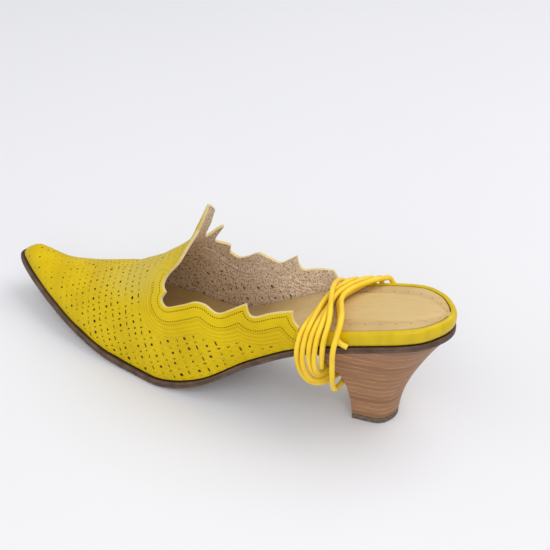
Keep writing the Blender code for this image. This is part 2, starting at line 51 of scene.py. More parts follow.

# %% [markdown]
# ## Camera
#
# A product photo is often taken with a long lens from some way off, so that straight lines stay
# nearly parallel. Three angles and a lens are enough to repeat it.

# %% Camera
VIEW_TURN = math.radians(25.4)
VIEW_HEIGHT = math.radians(34.2)
VIEW_ROLL = math.radians(1.3)
CAMERA_PLACE = Vector((0.1493, -0.4456, 0.4019))
LENS_MM = 74.7
SENSOR_MM = 36.0

back = Vector((
    math.sin(VIEW_TURN) * math.cos(VIEW_HEIGHT),
    -math.cos(VIEW_TURN) * math.cos(VIEW_HEIGHT),
    math.sin(VIEW_HEIGHT),
))
right = Vector((math.cos(VIEW_TURN), math.sin(VIEW_TURN), 0))
up = back.cross(right)
turn = Matrix((right, up, back)).transposed() @ Matrix.Rotation(VIEW_ROLL, 3, "Z")
lens = bpy.data.cameras.new("photo_camera")
lens.lens = LENS_MM
lens.sensor_width = SENSOR_MM
camera = bpy.data.objects.new("photo_camera", lens)
camera.matrix_world = Matrix.Translation(CAMERA_PLACE) @ turn.to_4x4()
bpy.context.scene.collection.objects.link(camera)
bpy.context.scene.camera = camera
print("camera", round((CAMERA_PLACE).length, 3), "m from the origin")

# %% [markdown]
# ## Floor and light
#
# The shoe stands on a pale sheet under one big soft lamp, with two weaker ones that open the shadows.
# A wide lamp gives soft shadow edges. The world has nearly the floor's own grey, so low views show no
# hard horizon.

# %% Floor and light
FLOOR_SIZE = 6.0
FLOOR_DROP = 0.0002
LAMPS = {
    # place, size, watts, colour
    "key": ((0.35, 0.55, 1.15), 1.2, 8.2, (1.0, 0.98, 0.95)),
    "fill": ((-0.9, -0.9, 1.0), 1.4, 4.5, (0.95, 0.97, 1.0)),
    "front": ((0.4, -1.0, 0.95), 1.0, 7.0, (1.0, 0.98, 0.96)),
}

bpy.ops.mesh.primitive_plane_add(size=FLOOR_SIZE, location=(0, 0, -FLOOR_DROP))
floor = bpy.context.object
floor.name = "floor"
bpy.ops.object.transform_apply(location=True, rotation=False, scale=False)
for name, (place, size, watts, colour) in LAMPS.items():
    lamp = bpy.data.lights.new(name, "AREA")
    lamp.size = size
    lamp.energy = watts
    lamp.color = colour
    holder = bpy.data.objects.new(name, lamp)
    aim = Vector((-0.09, 0, 0.03)) - Vector(place)
    holder.matrix_world = Matrix.Translation(place) @ aim.to_track_quat("-Z", "Y").to_matrix().to_4x4()
    bpy.context.scene.collection.objects.link(holder)
world = bpy.data.worlds.new("studio")
world.use_nodes = True
world.node_tree.nodes["Background"].inputs["Color"].default_value = (0.86, 0.87, 0.9, 1)
world.node_tree.nodes["Background"].inputs["Strength"].default_value = 0.7
bpy.context.scene.world = world
bpy.context.scene.view_settings.view_transform = "Standard"
print("lamps:", list(LAMPS))

# %% [markdown]
# ## Sums with sockets
#
# A finish is a picture made of sums: distances, stripes and masks. Written as a Python expression a
# sum is easy to read, so a small class wraps a socket and adds the node for each operator. Colours
# and vectors go through their own nodes, because a Math node would turn a colour grey.


# %% The socket class
class Link:
    """A shader socket that can stand in a Python expression."""

    def __init__(self, finish, socket):
        self.finish = finish
        self.socket = socket

    def sum(self, operation, *values):
        return self.finish.node("ShaderNodeMath", {"operation": operation}, dict(enumerate(values)))

    def __add__(self, other):
        return self.sum("ADD", self, other)

    def __sub__(self, other):
        return self.sum("SUBTRACT", self, other)

    def __rsub__(self, other):
        return self.sum("SUBTRACT", other, self)

    def __mul__(self, other):
        return self.sum("MULTIPLY", self, other)

    def __truediv__(self, other):
        return self.sum("DIVIDE", self, other)

    def __pow__(self, other):
        return self.sum("POWER", self, other)

    def __mod__(self, other):
        return self.sum("FLOORED_MODULO", self, other)

    def __abs__(self):
        return self.sum("ABSOLUTE", self)

    __radd__ = __add__
    __rmul__ = __mul__

    def ramp(self, start, end, low=0.0, high=1.0):
        """Soft step from low to high between two values of this socket."""
        settings = {"interpolation_type": "SMOOTHSTEP"}
        return self.finish.node("ShaderNodeMapRange", settings, {0: self, 1: start, 2: end, 3: low, 4: high})


class Finish:
    """A material whose nodes are added from Python."""

    def __init__(self, name, roughness=0.5, coat=0.0, specular=0.3):
        self.material = bpy.data.materials.new(name)
        self.material.use_nodes = True
        self.tree = self.material.node_tree
        self.shader = self.tree.nodes["Principled BSDF"]
        self.shader.inputs["Roughness"].default_value = roughness
        self.shader.inputs["Coat Weight"].default_value = coat
        self.shader.inputs["Specular IOR Level"].default_value = specular

    def node(self, kind, settings, values, output=0):
        made = self.tree.nodes.new(kind)
        for key, value in settings.items():
            setattr(made, key, value)
        for key, value in values.items():
            if isinstance(value, Link):
                self.tree.links.new(value.socket, made.inputs[key])
            else:
                made.inputs[key].default_value = value
        return Link(self, made.outputs[output])

    def place(self):
        """X, Y and Z of the object, in metres."""
        where = self.node("ShaderNodeTexCoord", {}, {}, "Object")
        return where, *(self.node("ShaderNodeSeparateXYZ", {}, {0: where}, k) for k in range(3))

    def chart(self, layer):
        """U and V of one of the piece's own UV maps."""
        where = self.node("ShaderNodeUVMap", {"uv_map": layer}, {})
        return tuple(self.node("ShaderNodeSeparateXYZ", {}, {0: where}, k) for k in range(2))

    def noise(self, where, size, detail=2.0, roughness=0.5):
        values = {"Vector": where, "Scale": 1 / size, "Detail": detail, "Roughness": roughness}
        return self.node("ShaderNodeTexNoise", {}, values)

    def speckle(self, where, size):
        return self.node("ShaderNodeTexVoronoi", {"feature": "F1"}, {"Vector": where, "Scale": 1 / size})

    def mix(self, share, first, second):
        first, second = ((*c, 1) if isinstance(c, tuple) else c for c in (first, second))
        settings = {"data_type": "RGBA", "clamp_factor": True}
        return self.node("ShaderNodeMix", settings, {0: share, 6: first, 7: second}, 2)

    def bump(self, height, distance, strength=1.0):
        """Relief of this height in units of distance, in metres."""
        return self.node("ShaderNodeBump", {}, {"Height": height, "Distance": distance, "Strength": strength})

    def set(self, **values):
        for name, value in values.items():
            socket = self.shader.inputs[name.replace("_", " ").title()]
            if isinstance(value, Link):
                self.tree.links.new(value.socket, socket)
            else:
                socket.default_value = (*value, 1) if isinstance(value, tuple) else value
        return self.material


print("socket class ready")

# %% [markdown]
# ## The sheet for the floor
#
# Paper or painted board: nearly white, dull, with a trace of unevenness.

# %% Floor finish
paper = Finish("paper", roughness=0.85)
where, *_ = paper.place()
paper.set(base_color=paper.mix(paper.noise(where, 0.4), (0.74, 0.745, 0.77), (0.79, 0.79, 0.81)))
floor.data.materials.append(paper.material)
print("floor finish on", floor.name)

# %% [markdown]
# ## The last
#
# A shoe is drawn on its last, the wooden foot. Its shape is worked out here from the same lengths and
# short tables as the frame's solids, so that every new piece lies where its solid lies. A table is
# read on a smooth curve that doesn't overshoot its rows.

# %% Lengths of the shoe
SHOE_LENGTH = 0.2695
HEEL_BACK = 0.0348
BALL_WIDTH = 0.0745
SEAT_HEIGHT = 0.0615
TOE_SPRING = 0.0191
TOE_SWING = 0.0112
SWING_START = 0.55
INSTEP_HEIGHT = 0.082
OUTSOLE_THICKNESS = 0.004
OUTSOLE_EDGE = 0.0017
OUTSOLE_BEVEL = 0.0009
GAP = 0.0003
FOOTBED_THICKNESS = 0.0078
FOOTBED_TOE_INSET = 0.004
TOE_START = 0.8
WALL = 0.0016
BAND_WIDTH = 0.0095
BAND_STEP = 0.0006
SPIKE_CURL = 0.0052
CURL_REACH = 0.016
RAND_HEIGHT = 0.0082
RAND_BULGE = 0.0015
RAND_WALL = 0.0019
RAND_BUTT = 0.0012
HEEL_LIP = 0.0603
HEEL_SEAT_EDGE = 0.0005
HEEL_FOOT_FRONT = 0.0090
HEEL_FOOT_BACK = 0.0113
HEEL_FOOT_WIDTH = 0.0272
TOP_PIECE_THICKNESS = 0.0032
LATERAL, MEDIAL = -1, 1

# %% Tables of the shoe
# Outsole underside: share of length from the back, share of seat height, share of toe spring
SOLE_PROFILE = (
    (0.000, 1.000, 0.000), (0.070, 0.950, 0.000), (0.150, 0.850, 0.000), (0.250, 0.700, 0.000),
    (0.360, 0.430, 0.000), (0.470, 0.108, 0.000), (0.520, 0.030, 0.000), (0.565, 0.000, 0.000),
    (0.625, 0.000, 0.000), (0.680, 0.000, 0.050), (0.740, 0.000, 0.204), (0.860, 0.000, 0.581),
    (1.000, 0.000, 1.000),
)
# Feather line: share of length, lateral and medial half width as shares of the ball width
SOLE_WIDTHS = (
    (0.000, 0.000, 0.000), (0.015, 0.140, 0.140), (0.040, 0.232, 0.236), (0.090, 0.300, 0.314),
    (0.160, 0.325, 0.335), (0.250, 0.350, 0.309), (0.350, 0.392, 0.305), (0.450, 0.474, 0.385),
    (0.540, 0.497, 0.475), (0.620, 0.460, 0.508), (0.700, 0.429, 0.472), (0.780, 0.369, 0.380),
    (0.860, 0.274, 0.240), (0.930, 0.170, 0.125), (0.975, 0.088, 0.073), (0.993, 0.045, 0.045),
    (1.000, 0.000, 0.000),
)
# Outsole's ledge round the upper: share of length, share of its width at the heel
SOLE_LEDGE = ((0.00, 1.00), (0.42, 1.00), (0.60, 1.45), (1.00, 1.45))
# Ridge: share of length, share of instep height
RIDGE = (
    (0.000, 1.000), (0.200, 1.100), (0.450, 1.120), (0.500, 1.050), (0.550, 0.845), (0.610, 0.670),
    (0.675, 0.512), (0.740, 0.372), (0.840, 0.198), (0.900, 0.135), (0.930, 0.145), (0.955, 0.138),
    (0.970, 0.112), (0.985, 0.068), (1.000, 0.000),
)
# Topline: lateral length and girth share, medial length and girth share, 1 at a sharp corner
TOPLINE = (
    (0.494, 0.000, 0.494, 0.000, 1), (0.524, 0.060, 0.496, 0.050, 1), (0.515, 0.130, 0.501, 0.098, 1),
    (0.532, 0.215, 0.545, 0.255, 0), (0.541, 0.285, 0.511, 0.375, 1), (0.561, 0.335, 0.537, 0.420, 0),
    (0.565, 0.410, 0.528, 0.500, 0), (0.553, 0.475, 0.509, 0.575, 1), (0.560, 0.515, 0.512, 0.622, 0),
    (0.543, 0.580, 0.492, 0.675, 0), (0.508, 0.625, 0.468, 0.682, 0), (0.478, 0.637, 0.441, 0.675, 0),
    (0.452, 0.670, 0.416, 0.716, 0), (0.425, 0.728, 0.388, 0.760, 0), (0.399, 0.738, 0.370, 0.758, 0),
    (0.369, 0.742, 0.350, 0.748, 1), (0.364, 0.785, 0.345, 0.795, 0), (0.352, 0.812, 0.334, 0.826, 0),
    (0.318, 0.818, 0.305, 0.839, 0), (0.277, 0.831, 0.272, 0.862, 1), (0.274, 0.872, 0.266, 0.885, 0),
    (0.263, 0.906, 0.261, 0.912, 1),
)
QUARTER_ROW = 9
# Footbed: share of length, share of its thickness
FOOTBED_SECTIONS = ((0.000, 1.00), (0.560, 1.00), (0.740, 0.60), (0.860, 0.36), (1.000, 0.26))
# Heel: height share, shares of the way from the foot's outline to the seat's at front, back and sides
HEEL_FLARE = (
    (0.00, 0.000, 0.000, 0.000), (0.20, 0.055, 0.070, 0.075), (0.40, 0.130, 0.210, 0.240),
    (0.60, 0.260, 0.420, 0.450), (0.80, 0.560, 0.670, 0.740), (0.92, 0.820, 0.850, 0.900),
    (1.00, 1.000, 1.000, 1.000),
)
print(len(TOPLINE), "rows in the topline")


# %% Reading a table
def smooth(table, column, at):
    """Read a table's column at the given first-column values, on a curve that doesn't overshoot."""
    rows = np.array(table, float)
    xs, ys = rows[:, 0], rows[:, column]
    width, slope = np.diff(xs), np.diff(ys) / np.diff(xs)
    before, after = slope[:-1], slope[1:]
    same_way = before * after > 0
    weight_a, weight_b = 2 * width[1:] + width[:-1], width[1:] + 2 * width[:-1]
    safe_before, safe_after = np.where(same_way, before, 1), np.where(same_way, after, 1)
    inner = np.where(same_way, (weight_a + weight_b) / (weight_a / safe_before + weight_b / safe_after), 0)
    tangent = np.concatenate([[slope[0]], inner, [slope[-1]]])
    at = np.clip(np.asarray(at, float), xs[0], xs[-1])
    k = np.clip(np.searchsorted(xs, at, side="right") - 1, 0, len(width) - 1)
    t = (at - xs[k]) / width[k]
    value = (1 + 2 * t) * (1 - t) ** 2 * ys[k] + t * t * (3 - 2 * t) * ys[k + 1]
    return value + t * (1 - t) ** 2 * width[k] * tangent[k] - t * t * (1 - t) * width[k] * tangent[k + 1]


def turned(share):
    """Angle that runs 0 to pi from the back to the tip, so that both ends come out round."""
    return np.arccos(1 - 2 * np.clip(share, 0, 1))


def round_table(table):
    return [(float(turned(row[0])), *row[1:]) for row in table]


def soft(value, start, end):
    """Soft step from 0 to 1 between start and end."""
    t = np.clip((value - start) / (end - start), 0, 1)
    return t * t * (3 - 2 * t)


# %% The sole's form and the last's surface
def share_at(x):
    return (HEEL_BACK - np.asarray(x, float)) / SHOE_LENGTH


def sole_bottom(share):
    return SEAT_HEIGHT * smooth(SOLE_PROFILE, 1, share) + TOE_SPRING * smooth(SOLE_PROFILE, 2, share)


def sole_top(share):
    return sole_bottom(share) + OUTSOLE_THICKNESS


def half_widths(share):
    table, angle = round_table(SOLE_WIDTHS), turned(share)
    return BALL_WIDTH * smooth(table, 1, angle), BALL_WIDTH * smooth(table, 2, angle)


def middle(share):
    return TOE_SWING * np.clip((share - SWING_START) / (1 - SWING_START), 0, 1) ** 1.6


def feather(share, side):
    """Point of the feather line in plan; side is LATERAL or MEDIAL."""
    lateral, medial = half_widths(share)
    width = lateral if side < 0 else medial
    return HEEL_BACK - SHOE_LENGTH * share, middle(share) + side * width


def last_surface(reach, tilt):
    """Point of the last: reach is the angle back from the tip, tilt the angle off the ridge."""
    share = (1 + np.cos(reach)) / 2
    lateral, medial = half_widths(share)
    width = np.where(tilt < 0, lateral, medial)
    height = INSTEP_HEIGHT * smooth(round_table(RIDGE), 1, turned(share))
    y = middle(share) + width * np.sin(tilt)
    return np.stack([HEEL_BACK - SHOE_LENGTH * share, y, sole_top(share) + height * np.cos(tilt)], -1)


def outward(loop):
    """Outward normals of a closed plan loop."""
    along = np.roll(loop, -1, 0) - np.roll(loop, 1, 0)
    normal = np.stack([along[:, 1], -along[:, 0]], -1)
    normal /= np.linalg.norm(normal, axis=1)[:, None]
    return normal if ((loop - loop.mean(0)) * normal).sum() > 0 else -normal


def plan_loop(steps):
    """Feather line all round: its points, its normals, and for each point the one on the midline."""
    shares = (1 - np.cos(np.linspace(0, math.pi, steps + 1))) / 2
    lateral, medial = (np.stack(feather(shares, side), -1) for side in (LATERAL, MEDIAL))
    loop = np.concatenate([lateral, medial[-2:0:-1]])
    spine_share = np.concatenate([shares, shares[-2:0:-1]])
    spine = np.stack([HEEL_BACK - SHOE_LENGTH * spine_share, middle(spine_share)], -1)
    return loop, outward(loop), spine


print("ball girth over the wall:", round(float(np.linalg.norm(np.diff(last_surface(
    np.full(60, 1.2), np.linspace(-1.57, 1.57, 60)), axis=0), axis=1).sum()) / MM), "mm")

# %% [markdown]
# ## Laying a grid
#
# Most pieces of a shoe are sheets or closed skins, so each starts as the same primitive: a flat grid
# of the wanted number of cells. Its points are then laid where a function of the grid's two shares
# says. A grid can close on itself, and then its seam is merged.


# %% Grid helpers
def only(piece):
    """Make this the one selected and active object."""
    bpy.ops.object.select_all(action="DESELECT")
    piece.select_set(True)
    bpy.context.view_layer.objects.active = piece


def laid_grid(name, columns, rows, place):
    """Grid primitive of columns by rows cells, laid by place(column, row), each a whole number."""
    bpy.ops.object.select_all(action="DESELECT")
    bpy.ops.mesh.primitive_grid_add(x_subdivisions=columns, y_subdivisions=rows, size=2)
    piece = bpy.context.object
    piece.name = piece.data.name = name
    flat = np.empty(len(piece.data.vertices) * 3)
    piece.data.vertices.foreach_get("co", flat)
    flat = flat.reshape(-1, 3)
    column = np.rint((flat[:, 0] + 1) / 2 * columns).astype(int)
    row = np.rint((flat[:, 1] + 1) / 2 * rows).astype(int)
    piece.data.vertices.foreach_set("co", place(column, row).ravel())
    piece.data.update()
    return piece, column, row


def add_chart(piece, name, values):
    """UV map from one pair of values for each point."""
    layer = piece.data.uv_layers.get(name) or piece.data.uv_layers.new(name=name)
    corner = np.empty(len(piece.data.loops), int)
    piece.data.loops.foreach_get("vertex_index", corner)
    layer.data.foreach_set("uv", np.asarray(values, float)[corner].ravel())


def edit(piece, *steps):
    """Run edit-mode steps on the whole mesh."""
    only(piece)
    bpy.ops.object.mode_set(mode="EDIT")
    bpy.ops.mesh.select_all(action="SELECT")
    for step, settings in steps:
        step(**settings)
    bpy.ops.object.mode_set(mode="OBJECT")


def closed_up(piece):
    """Merge the seam and poles of a closed skin and turn its faces out."""
    edit(piece, (bpy.ops.mesh.remove_doubles, {"threshold": 1e-6}),
         (bpy.ops.mesh.dissolve_degenerate, {"threshold": 1e-6}),
         (bpy.ops.mesh.normals_make_consistent, {"inside": False}))


def apply_all(piece):
    only(piece)
    for modifier in list(piece.modifiers):
        bpy.ops.object.modifier_apply(modifier=modifier.name)


def finished(piece, node, slot, *materials, angle=40):
    """Give a piece its finish, its shading and its place in the frame."""
    only(piece)
    bpy.ops.object.shade_smooth_by_angle(angle=math.radians(angle))
    for k, material in enumerate(materials):
        if k < len(piece.data.materials):
            piece.data.materials[k] = material
        else:
            piece.data.materials.append(material)
    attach(piece, "root")
    if node:
        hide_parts(node)
    print(piece.name, len(piece.data.polygons), "faces")


print("grid helpers ready")

# %% [markdown]
# ## Upper: the wall's net
#
# The upper is one sheet of leather, pulled over the last. Its net has a column from the sole up to
# each point of the topline, so that the spikes and scallops come out sharp, and its rows are close
# together along the edge, where a raised band and three ridges follow the cut.

# %% Topline and columns
NET_STEP = 0.00135
EDGE_STOPS = np.concatenate([np.arange(0, 8.9, 0.75), [9.1, 9.6], np.arange(10.2, 17.5, 0.6)]) * MM
BODY_ROWS = 44
LEATHER_LIFT = 0.0006
NET_ROUNDS = 30
EVEN_ROUNDS = 400
EVEN_ROWS = 34


def last_normals(reach, tilt):
    """Outward normals of the last's surface."""
    step = 1e-4
    along = last_surface(reach + step, tilt) - last_surface(reach - step, tilt)
    across = last_surface(reach, tilt + step) - last_surface(reach, tilt - step)
    normals = np.cross(along, across)
    normals *= np.sign(normals[..., 1:2] * np.sin(tilt)[..., None] + normals[..., 2:] * np.cos(tilt)[..., None])
    return normals / np.maximum(np.linalg.norm(normals, axis=-1)[..., None], 1e-12)


def folded(net):
    """Cells of the net that lie the wrong way round."""
    wall = last_surface(net[..., 0], net[..., 1])
    facing = last_normals(net[..., 0], net[..., 1])[:-1, :-1]
    along, rise = wall[1:, :-1] - wall[:-1, :-1], wall[:-1, 1:] - wall[:-1, :-1]
    turned_out = (np.cross(along, rise) * facing).sum(-1)
    return turned_out * np.sign(np.median(turned_out)) < 0


def topline(side):
    """Topline of one side as reach and tilt angles, with the table row that each point follows."""
    first = 0 if side < 0 else 2
    rows = np.array(TOPLINE, float)
    reach = math.pi - turned(rows[:, first])
    tilt = side * rows[:, first + 1] * math.pi / 2
    knots, sharp = np.stack([reach, tilt], -1), rows[:, 4] > 0
    span = np.linalg.norm(np.diff(last_surface(reach, tilt), axis=0), axis=1)
    steps = np.maximum(2, np.round(span / NET_STEP).astype(int))
    points, rank = [], []
    for k in range(len(knots) - 1):
        chord = knots[k + 1] - knots[k]
        start = chord if sharp[k] or k == 0 else (knots[k + 1] - knots[k - 1]) / 2
        end = chord if sharp[k + 1] or k + 2 == len(knots) else (knots[k + 2] - knots[k]) / 2
        for t in np.arange(steps[k]) / steps[k]:
            h = (1 + 2 * t) * (1 - t) ** 2, t * (1 - t) ** 2, t * t * (3 - 2 * t), -t * t * (1 - t)
            points.append(h[0] * knots[k] + h[1] * start + h[2] * knots[k + 1] + h[3] * end)
            rank.append(k + t)
    points.append(knots[-1])
    rank.append(len(knots) - 1)
    return np.array(points), np.array(rank)


def column_angles(start, end, side, part):
    """Angles along a column: straight near the tip, along the girth behind it."""
    crown = end[0] * np.array([math.sin(end[1]), math.cos(end[1])])
    flat = (1 - part)[:, None] * np.array([side * start, 0]) + part[:, None] * crown
    straight = np.stack([np.hypot(*flat.T), np.arctan2(flat[:, 0], flat[:, 1])], -1)
    tilt = side * math.pi / 2
    along = np.stack([start + (end[0] - start) * part, tilt + (end[1] - tilt) * part], -1)
    near = min(max(start / 1.2, 0), 1)
    blend = near * near * (3 - 2 * near)
    return (1 - blend) * straight + blend * along


def wall_column(start, end, side):
    """Angles of the net's points up one column, from the sole to the topline."""
    fine = column_angles(start, end, side, np.linspace(0, 1, 161))
    line = last_surface(fine[:, 0], fine[:, 1])
    run = np.concatenate([[0], np.cumsum(np.linalg.norm(np.diff(line, axis=0), axis=1))])
    edge = EDGE_STOPS * min(1, 0.6 * run[-1] / EDGE_STOPS[-1])
    body = LEATHER_LIFT + (run[-1] - edge[-1] - LEATHER_LIFT) * np.arange(BODY_ROWS) / BODY_ROWS
    stops = np.concatenate([body, run[-1] - edge[::-1]])
    return np.array([np.interp(stops, run, fine[:, axis]) for axis in range(2)]).T


net, ranks = [], []
for side in (LATERAL, MEDIAL):
    top, rank = topline(side)
    quarter = np.searchsorted(rank, QUARTER_ROW)
    starts = top[:, 0].copy()
    starts[: quarter + 1] = top[quarter, 0] * np.arange(quarter + 1) / quarter
    one = [wall_column(starts[k], top[k], side) for k in range(len(top))]
    net += one[::-1] if side < 0 else one[1:]
    ranks += list(rank[::-1] if side < 0 else rank[1:])
net, ranks = np.array(net), np.array(ranks)
depth = np.arange(net.shape[1])[::-1]
for turn_number in range(NET_ROUNDS):
    deep = (depth > 1 + turn_number * 0.4) & (depth < len(depth) - 1)
    net[1:-1, deep] += 0.25 * (net[:-2, deep] + net[2:, deep] - 2 * net[1:-1, deep])
flat = net[..., :1] * np.stack([np.sin(net[..., 1]), np.cos(net[..., 1])], -1)
for _ in range(EVEN_ROUNDS):
    wall = last_surface(net[:, -EVEN_ROWS:, 0], net[:, -EVEN_ROWS:, 1])
    near = flat[:, -EVEN_ROWS:]
    along, rise = wall[2:, 1:-1] - wall[:-2, 1:-1], wall[1:-1, 2:] - wall[1:-1, :-2]
    a, b, g = (rise * rise).sum(-1), (along * rise).sum(-1), (along * along).sum(-1)
    a, b, g = a[..., None], b[..., None], g[..., None]
    skew = near[2:, 2:] - near[2:, :-2] - near[:-2, 2:] + near[:-2, :-2]
    even = a * (near[2:, 1:-1] + near[:-2, 1:-1]) + g * (near[1:-1, 2:] + near[1:-1, :-2]) - b * skew / 2
    near[1:-1, 1:-1] += 0.8 * (even / (2 * (a + g)) - near[1:-1, 1:-1])
    net = np.stack([np.hypot(*np.moveaxis(flat, -1, 0)), np.arctan2(flat[..., 0], flat[..., 1])], -1)
folds = folded(net)
print("cells still folded:", int(folds.sum()))
wall = last_surface(net[..., 0], net[..., 1])
print("net of", net.shape[0], "columns and", net.shape[1], "rows")


# %% Distance from the cut edge and relief
def nearest_edge(points):
    """Distance of each point from the cut edge, and which edge point is nearest."""
    tree = KDTree(len(cut))
    for k, point in enumerate(cut):
        tree.insert(point, k)
    tree.balance()
    found = [tree.find(point)[1:] for point in points]
    return np.array([f[1] for f in found]), np.array([f[0] for f in found])


fine_steps = np.linspace(0, len(net) - 1, 4 * len(net))
cut = np.array([np.interp(fine_steps, np.arange(len(net)), wall[:, -1, axis]) for axis in range(3)]).T
cut_run = np.concatenate([[0], np.cumsum(np.linalg.norm(np.diff(cut, axis=0), axis=1))])
cut_rank = np.interp(fine_steps, np.arange(len(net)), ranks)
distance, nearest = nearest_edge(wall.reshape(-1, 3))
distance, nearest = distance.reshape(wall.shape[:2]), nearest.reshape(wall.shape[:2])
distance[:, -1] = 0
BAND_STARTS, BAND_FULL = 3.2, 5.6  # rows of the topline's table between which the band rises
RIDGES = ((11.2, 0.6), (13.4, 0.5), (15.6, 0.34))  # distance from the edge and height, mm
RIDGE_WIDTH = 0.75
# Flex creases over the instep: x in the middle, lean, width and depth
VAMP_CREASES = ((-0.163, 0.35, 0.0046, 0.0003), (-0.151, -0.3, 0.0055, 0.00035), (-0.138, 0.25, 0.005, 0.0002))
banded = soft(cut_rank[nearest], BAND_STARTS, BAND_FULL)
relief = BAND_STEP * soft(distance, 9.7 * MM, 9.0 * MM)
for at, height in RIDGES:
    relief += height * MM * np.exp(-(((distance - at * MM) / (RIDGE_WIDTH * MM)) ** 2))
normals = last_normals(*net.transpose(2, 0, 1))
laid = wall + (relief * banded)[..., None] * normals
for at, lean, width, depth in VAMP_CREASES:
    trough = np.exp(-(((laid[..., 0] - at - lean * laid[..., 1]) / width) ** 2))
    laid -= (depth * trough * soft(distance, 0, 0.02))[..., None] * normals
crown = wall[np.argmin(ranks), -1]
curl = SPIKE_CURL * np.clip(1 - np.linalg.norm(wall[:, -1] - crown, axis=1) / CURL_REACH, 0, 1) ** 2
bend = np.clip(1 - distance / BAND_WIDTH, 0, 1) ** 1.4
laid += (curl[:, None] * bend)[..., None] * normals
print("edge is", round(cut_run[-1] / MM), "mm long")

# %% [markdown]
# ## Upper: where the leather is punched
#
# The holes stand in rows that rise towards the heel. One row has round holes and upright slits by
# turns, the next has short slits that lie along it. On the flat hide the rows are straight, so their
# chart unrolls the side: it counts the way up from the sole, turned by the rows' slope. Towards the
# toe the pattern gets finer.

# %% Chart of the pattern
HOLE_STEP = 0.0060
ROW_STEP = 0.0034
ROW_SLOPE = math.radians(27)
TOE_FINER = 0.86
CHART_ORIGIN = -0.09


def pattern_chart():
    """Tables over reach and tilt: the two pattern values, and the surface's points."""
    reach = np.linspace(0.02, 2.2, 260)
    tilt = np.linspace(-math.pi / 2, math.pi / 2, 241)
    grid = last_surface(*np.meshgrid(reach, tilt, indexing="ij"))
    step = np.linalg.norm(np.diff(grid, axis=1), axis=2)
    run = np.concatenate([np.zeros((len(reach), 1)), np.cumsum(step, axis=1)], axis=1)
    girth = np.abs(run - run[:, 120:121])
    foot = np.where(np.arange(241) < 120, girth[:, :1], girth[:, -1:])
    up = grid[:, :1, 2] + foot - girth
    along = 1.06 * (CHART_ORIGIN - grid[..., 0])
    finer = 1 - (1 - TOE_FINER) * soft(along, 0.03, 0.12)
    u = (along * math.cos(ROW_SLOPE) - up * math.sin(ROW_SLOPE)) / HOLE_STEP / finer
    v = (along * math.sin(ROW_SLOPE) + up * math.cos(ROW_SLOPE)) / ROW_STEP / finer
    return reach, tilt, u, v, grid


chart_reach, chart_tilt, chart_u, chart_v, chart_points = pattern_chart()


def read_chart(table, reach, tilt):
    """Value of a chart's table between its steps."""
    r = np.clip((reach - chart_reach[0]) / (chart_reach[1] - chart_reach[0]), 0, len(chart_reach) - 1.001)
    t = np.clip((tilt - chart_tilt[0]) / (chart_tilt[1] - chart_tilt[0]), 0, len(chart_tilt) - 1.001)
    i, j = r.astype(int), t.astype(int)
    r, t = r - i, t - j
    low = table[i, j] * (1 - t) + table[i, j + 1] * t
    high = table[i + 1, j] * (1 - t) + table[i + 1, j + 1] * t
    return low * (1 - r) + high * r


net_u = read_chart(chart_u, net[..., 0], net[..., 1])
net_v = read_chart(chart_v, net[..., 0], net[..., 1])
print("pattern cells:", round(float(net_u.max() - net_u.min())), "by", round(float(net_v.max())))

# %% Places of the holes
EDGE_CLEAR = 0.0172
FOOT_CLEAR = 0.0028
ROUND_RADIUS = 0.00092
SLIT_LENGTH, SLIT_WIDTH = 0.0013, 0.00042
HOLE_SHIFT = 0.0004
HOLES_THIN_OUT = -0.165
HOLES_LEFT_OUT = (0.07, 0.28)  # shares left out behind and before that x
random = np.random.default_rng(11)


def hole_places():
    """Centre, outward normal, direction along the row, row and column of each hole."""
    tree = KDTree(net.shape[0] * net.shape[1])
    for k, point in enumerate(wall.reshape(-1, 3)):
        tree.insert(point, k)
    tree.balance()
    found = []
    for half in (slice(0, 121), slice(120, 241)):
        u, v, points = chart_u[:, half], chart_v[:, half], chart_points[:, half]
        for row in range(int(v.min()), int(v.max()) + 1):
            for column in range(int(u.min()), int(u.max()) + 1):
                miss = (u - column - 0.5) ** 2 + (v - row - 0.5) ** 2
                i, j = np.unravel_index(miss.argmin(), miss.shape)
                if miss[i, j] > 0.06 or not 0 < i < len(u) - 1 or not 0 < j < u.shape[1] - 1:
                    continue
                centre = points[i, j]
                near, index, off = tree.find(centre)
                c, r = divmod(index, net.shape[1])
                if off > 1.4 * NET_STEP or distance[c, r] < EDGE_CLEAR * (0.35 + 0.65 * banded[c, r]):
                    continue
                if centre[2] - sole_top(share_at(centre[0])) < FOOT_CLEAR or r < 2:
                    continue
                turn_u = (u[i + 1, j] - u[i - 1, j]), (u[i, j + 1] - u[i, j - 1])
                turn_v = (v[i + 1, j] - v[i - 1, j]), (v[i, j + 1] - v[i, j - 1])
                spread = turn_u[0] * turn_v[1] - turn_u[1] * turn_v[0]
                along = (points[i + 1, j] - points[i - 1, j]) * turn_v[1]
                along -= (points[i, j + 1] - points[i, j - 1]) * turn_v[0]
                found.append((centre, normals[c, r], along / spread, row, column))
    return found


holes = []
for centre, normal, along, row, column in hole_places():
    along = along / np.linalg.norm(along)
    size = float(soft(centre[0], -0.225, -0.13)) * 0.5 + 0.5
    size *= 1 - 0.3 * float(soft(centre[2] - sole_top(share_at(centre[0])), 0.035, 0.055))
    size *= random.uniform(0.6, 1.2)
    kind = "lying" if row % 2 else ("round", "upright")[column % 2]
    if kind == "lying":
        size *= 0.7
    if random.random() < HOLES_LEFT_OUT[0 if centre[0] > HOLES_THIN_OUT else 1]:
        continue
    shift = random.uniform(-HOLE_SHIFT, HOLE_SHIFT, 2)
    centre = centre + shift[0] * along + shift[1] * np.cross(normal, along)
    holes.append((centre, normal, along, size, kind))
print(len(holes), "holes")

# %% [markdown]
# ## Upper: pinpricks along the edge
#
# Two rows of pricks follow the cut edge at a steady distance. Each row is a line of equal distance
# from the edge, found column by column, and the pricks are set off along it at one step.

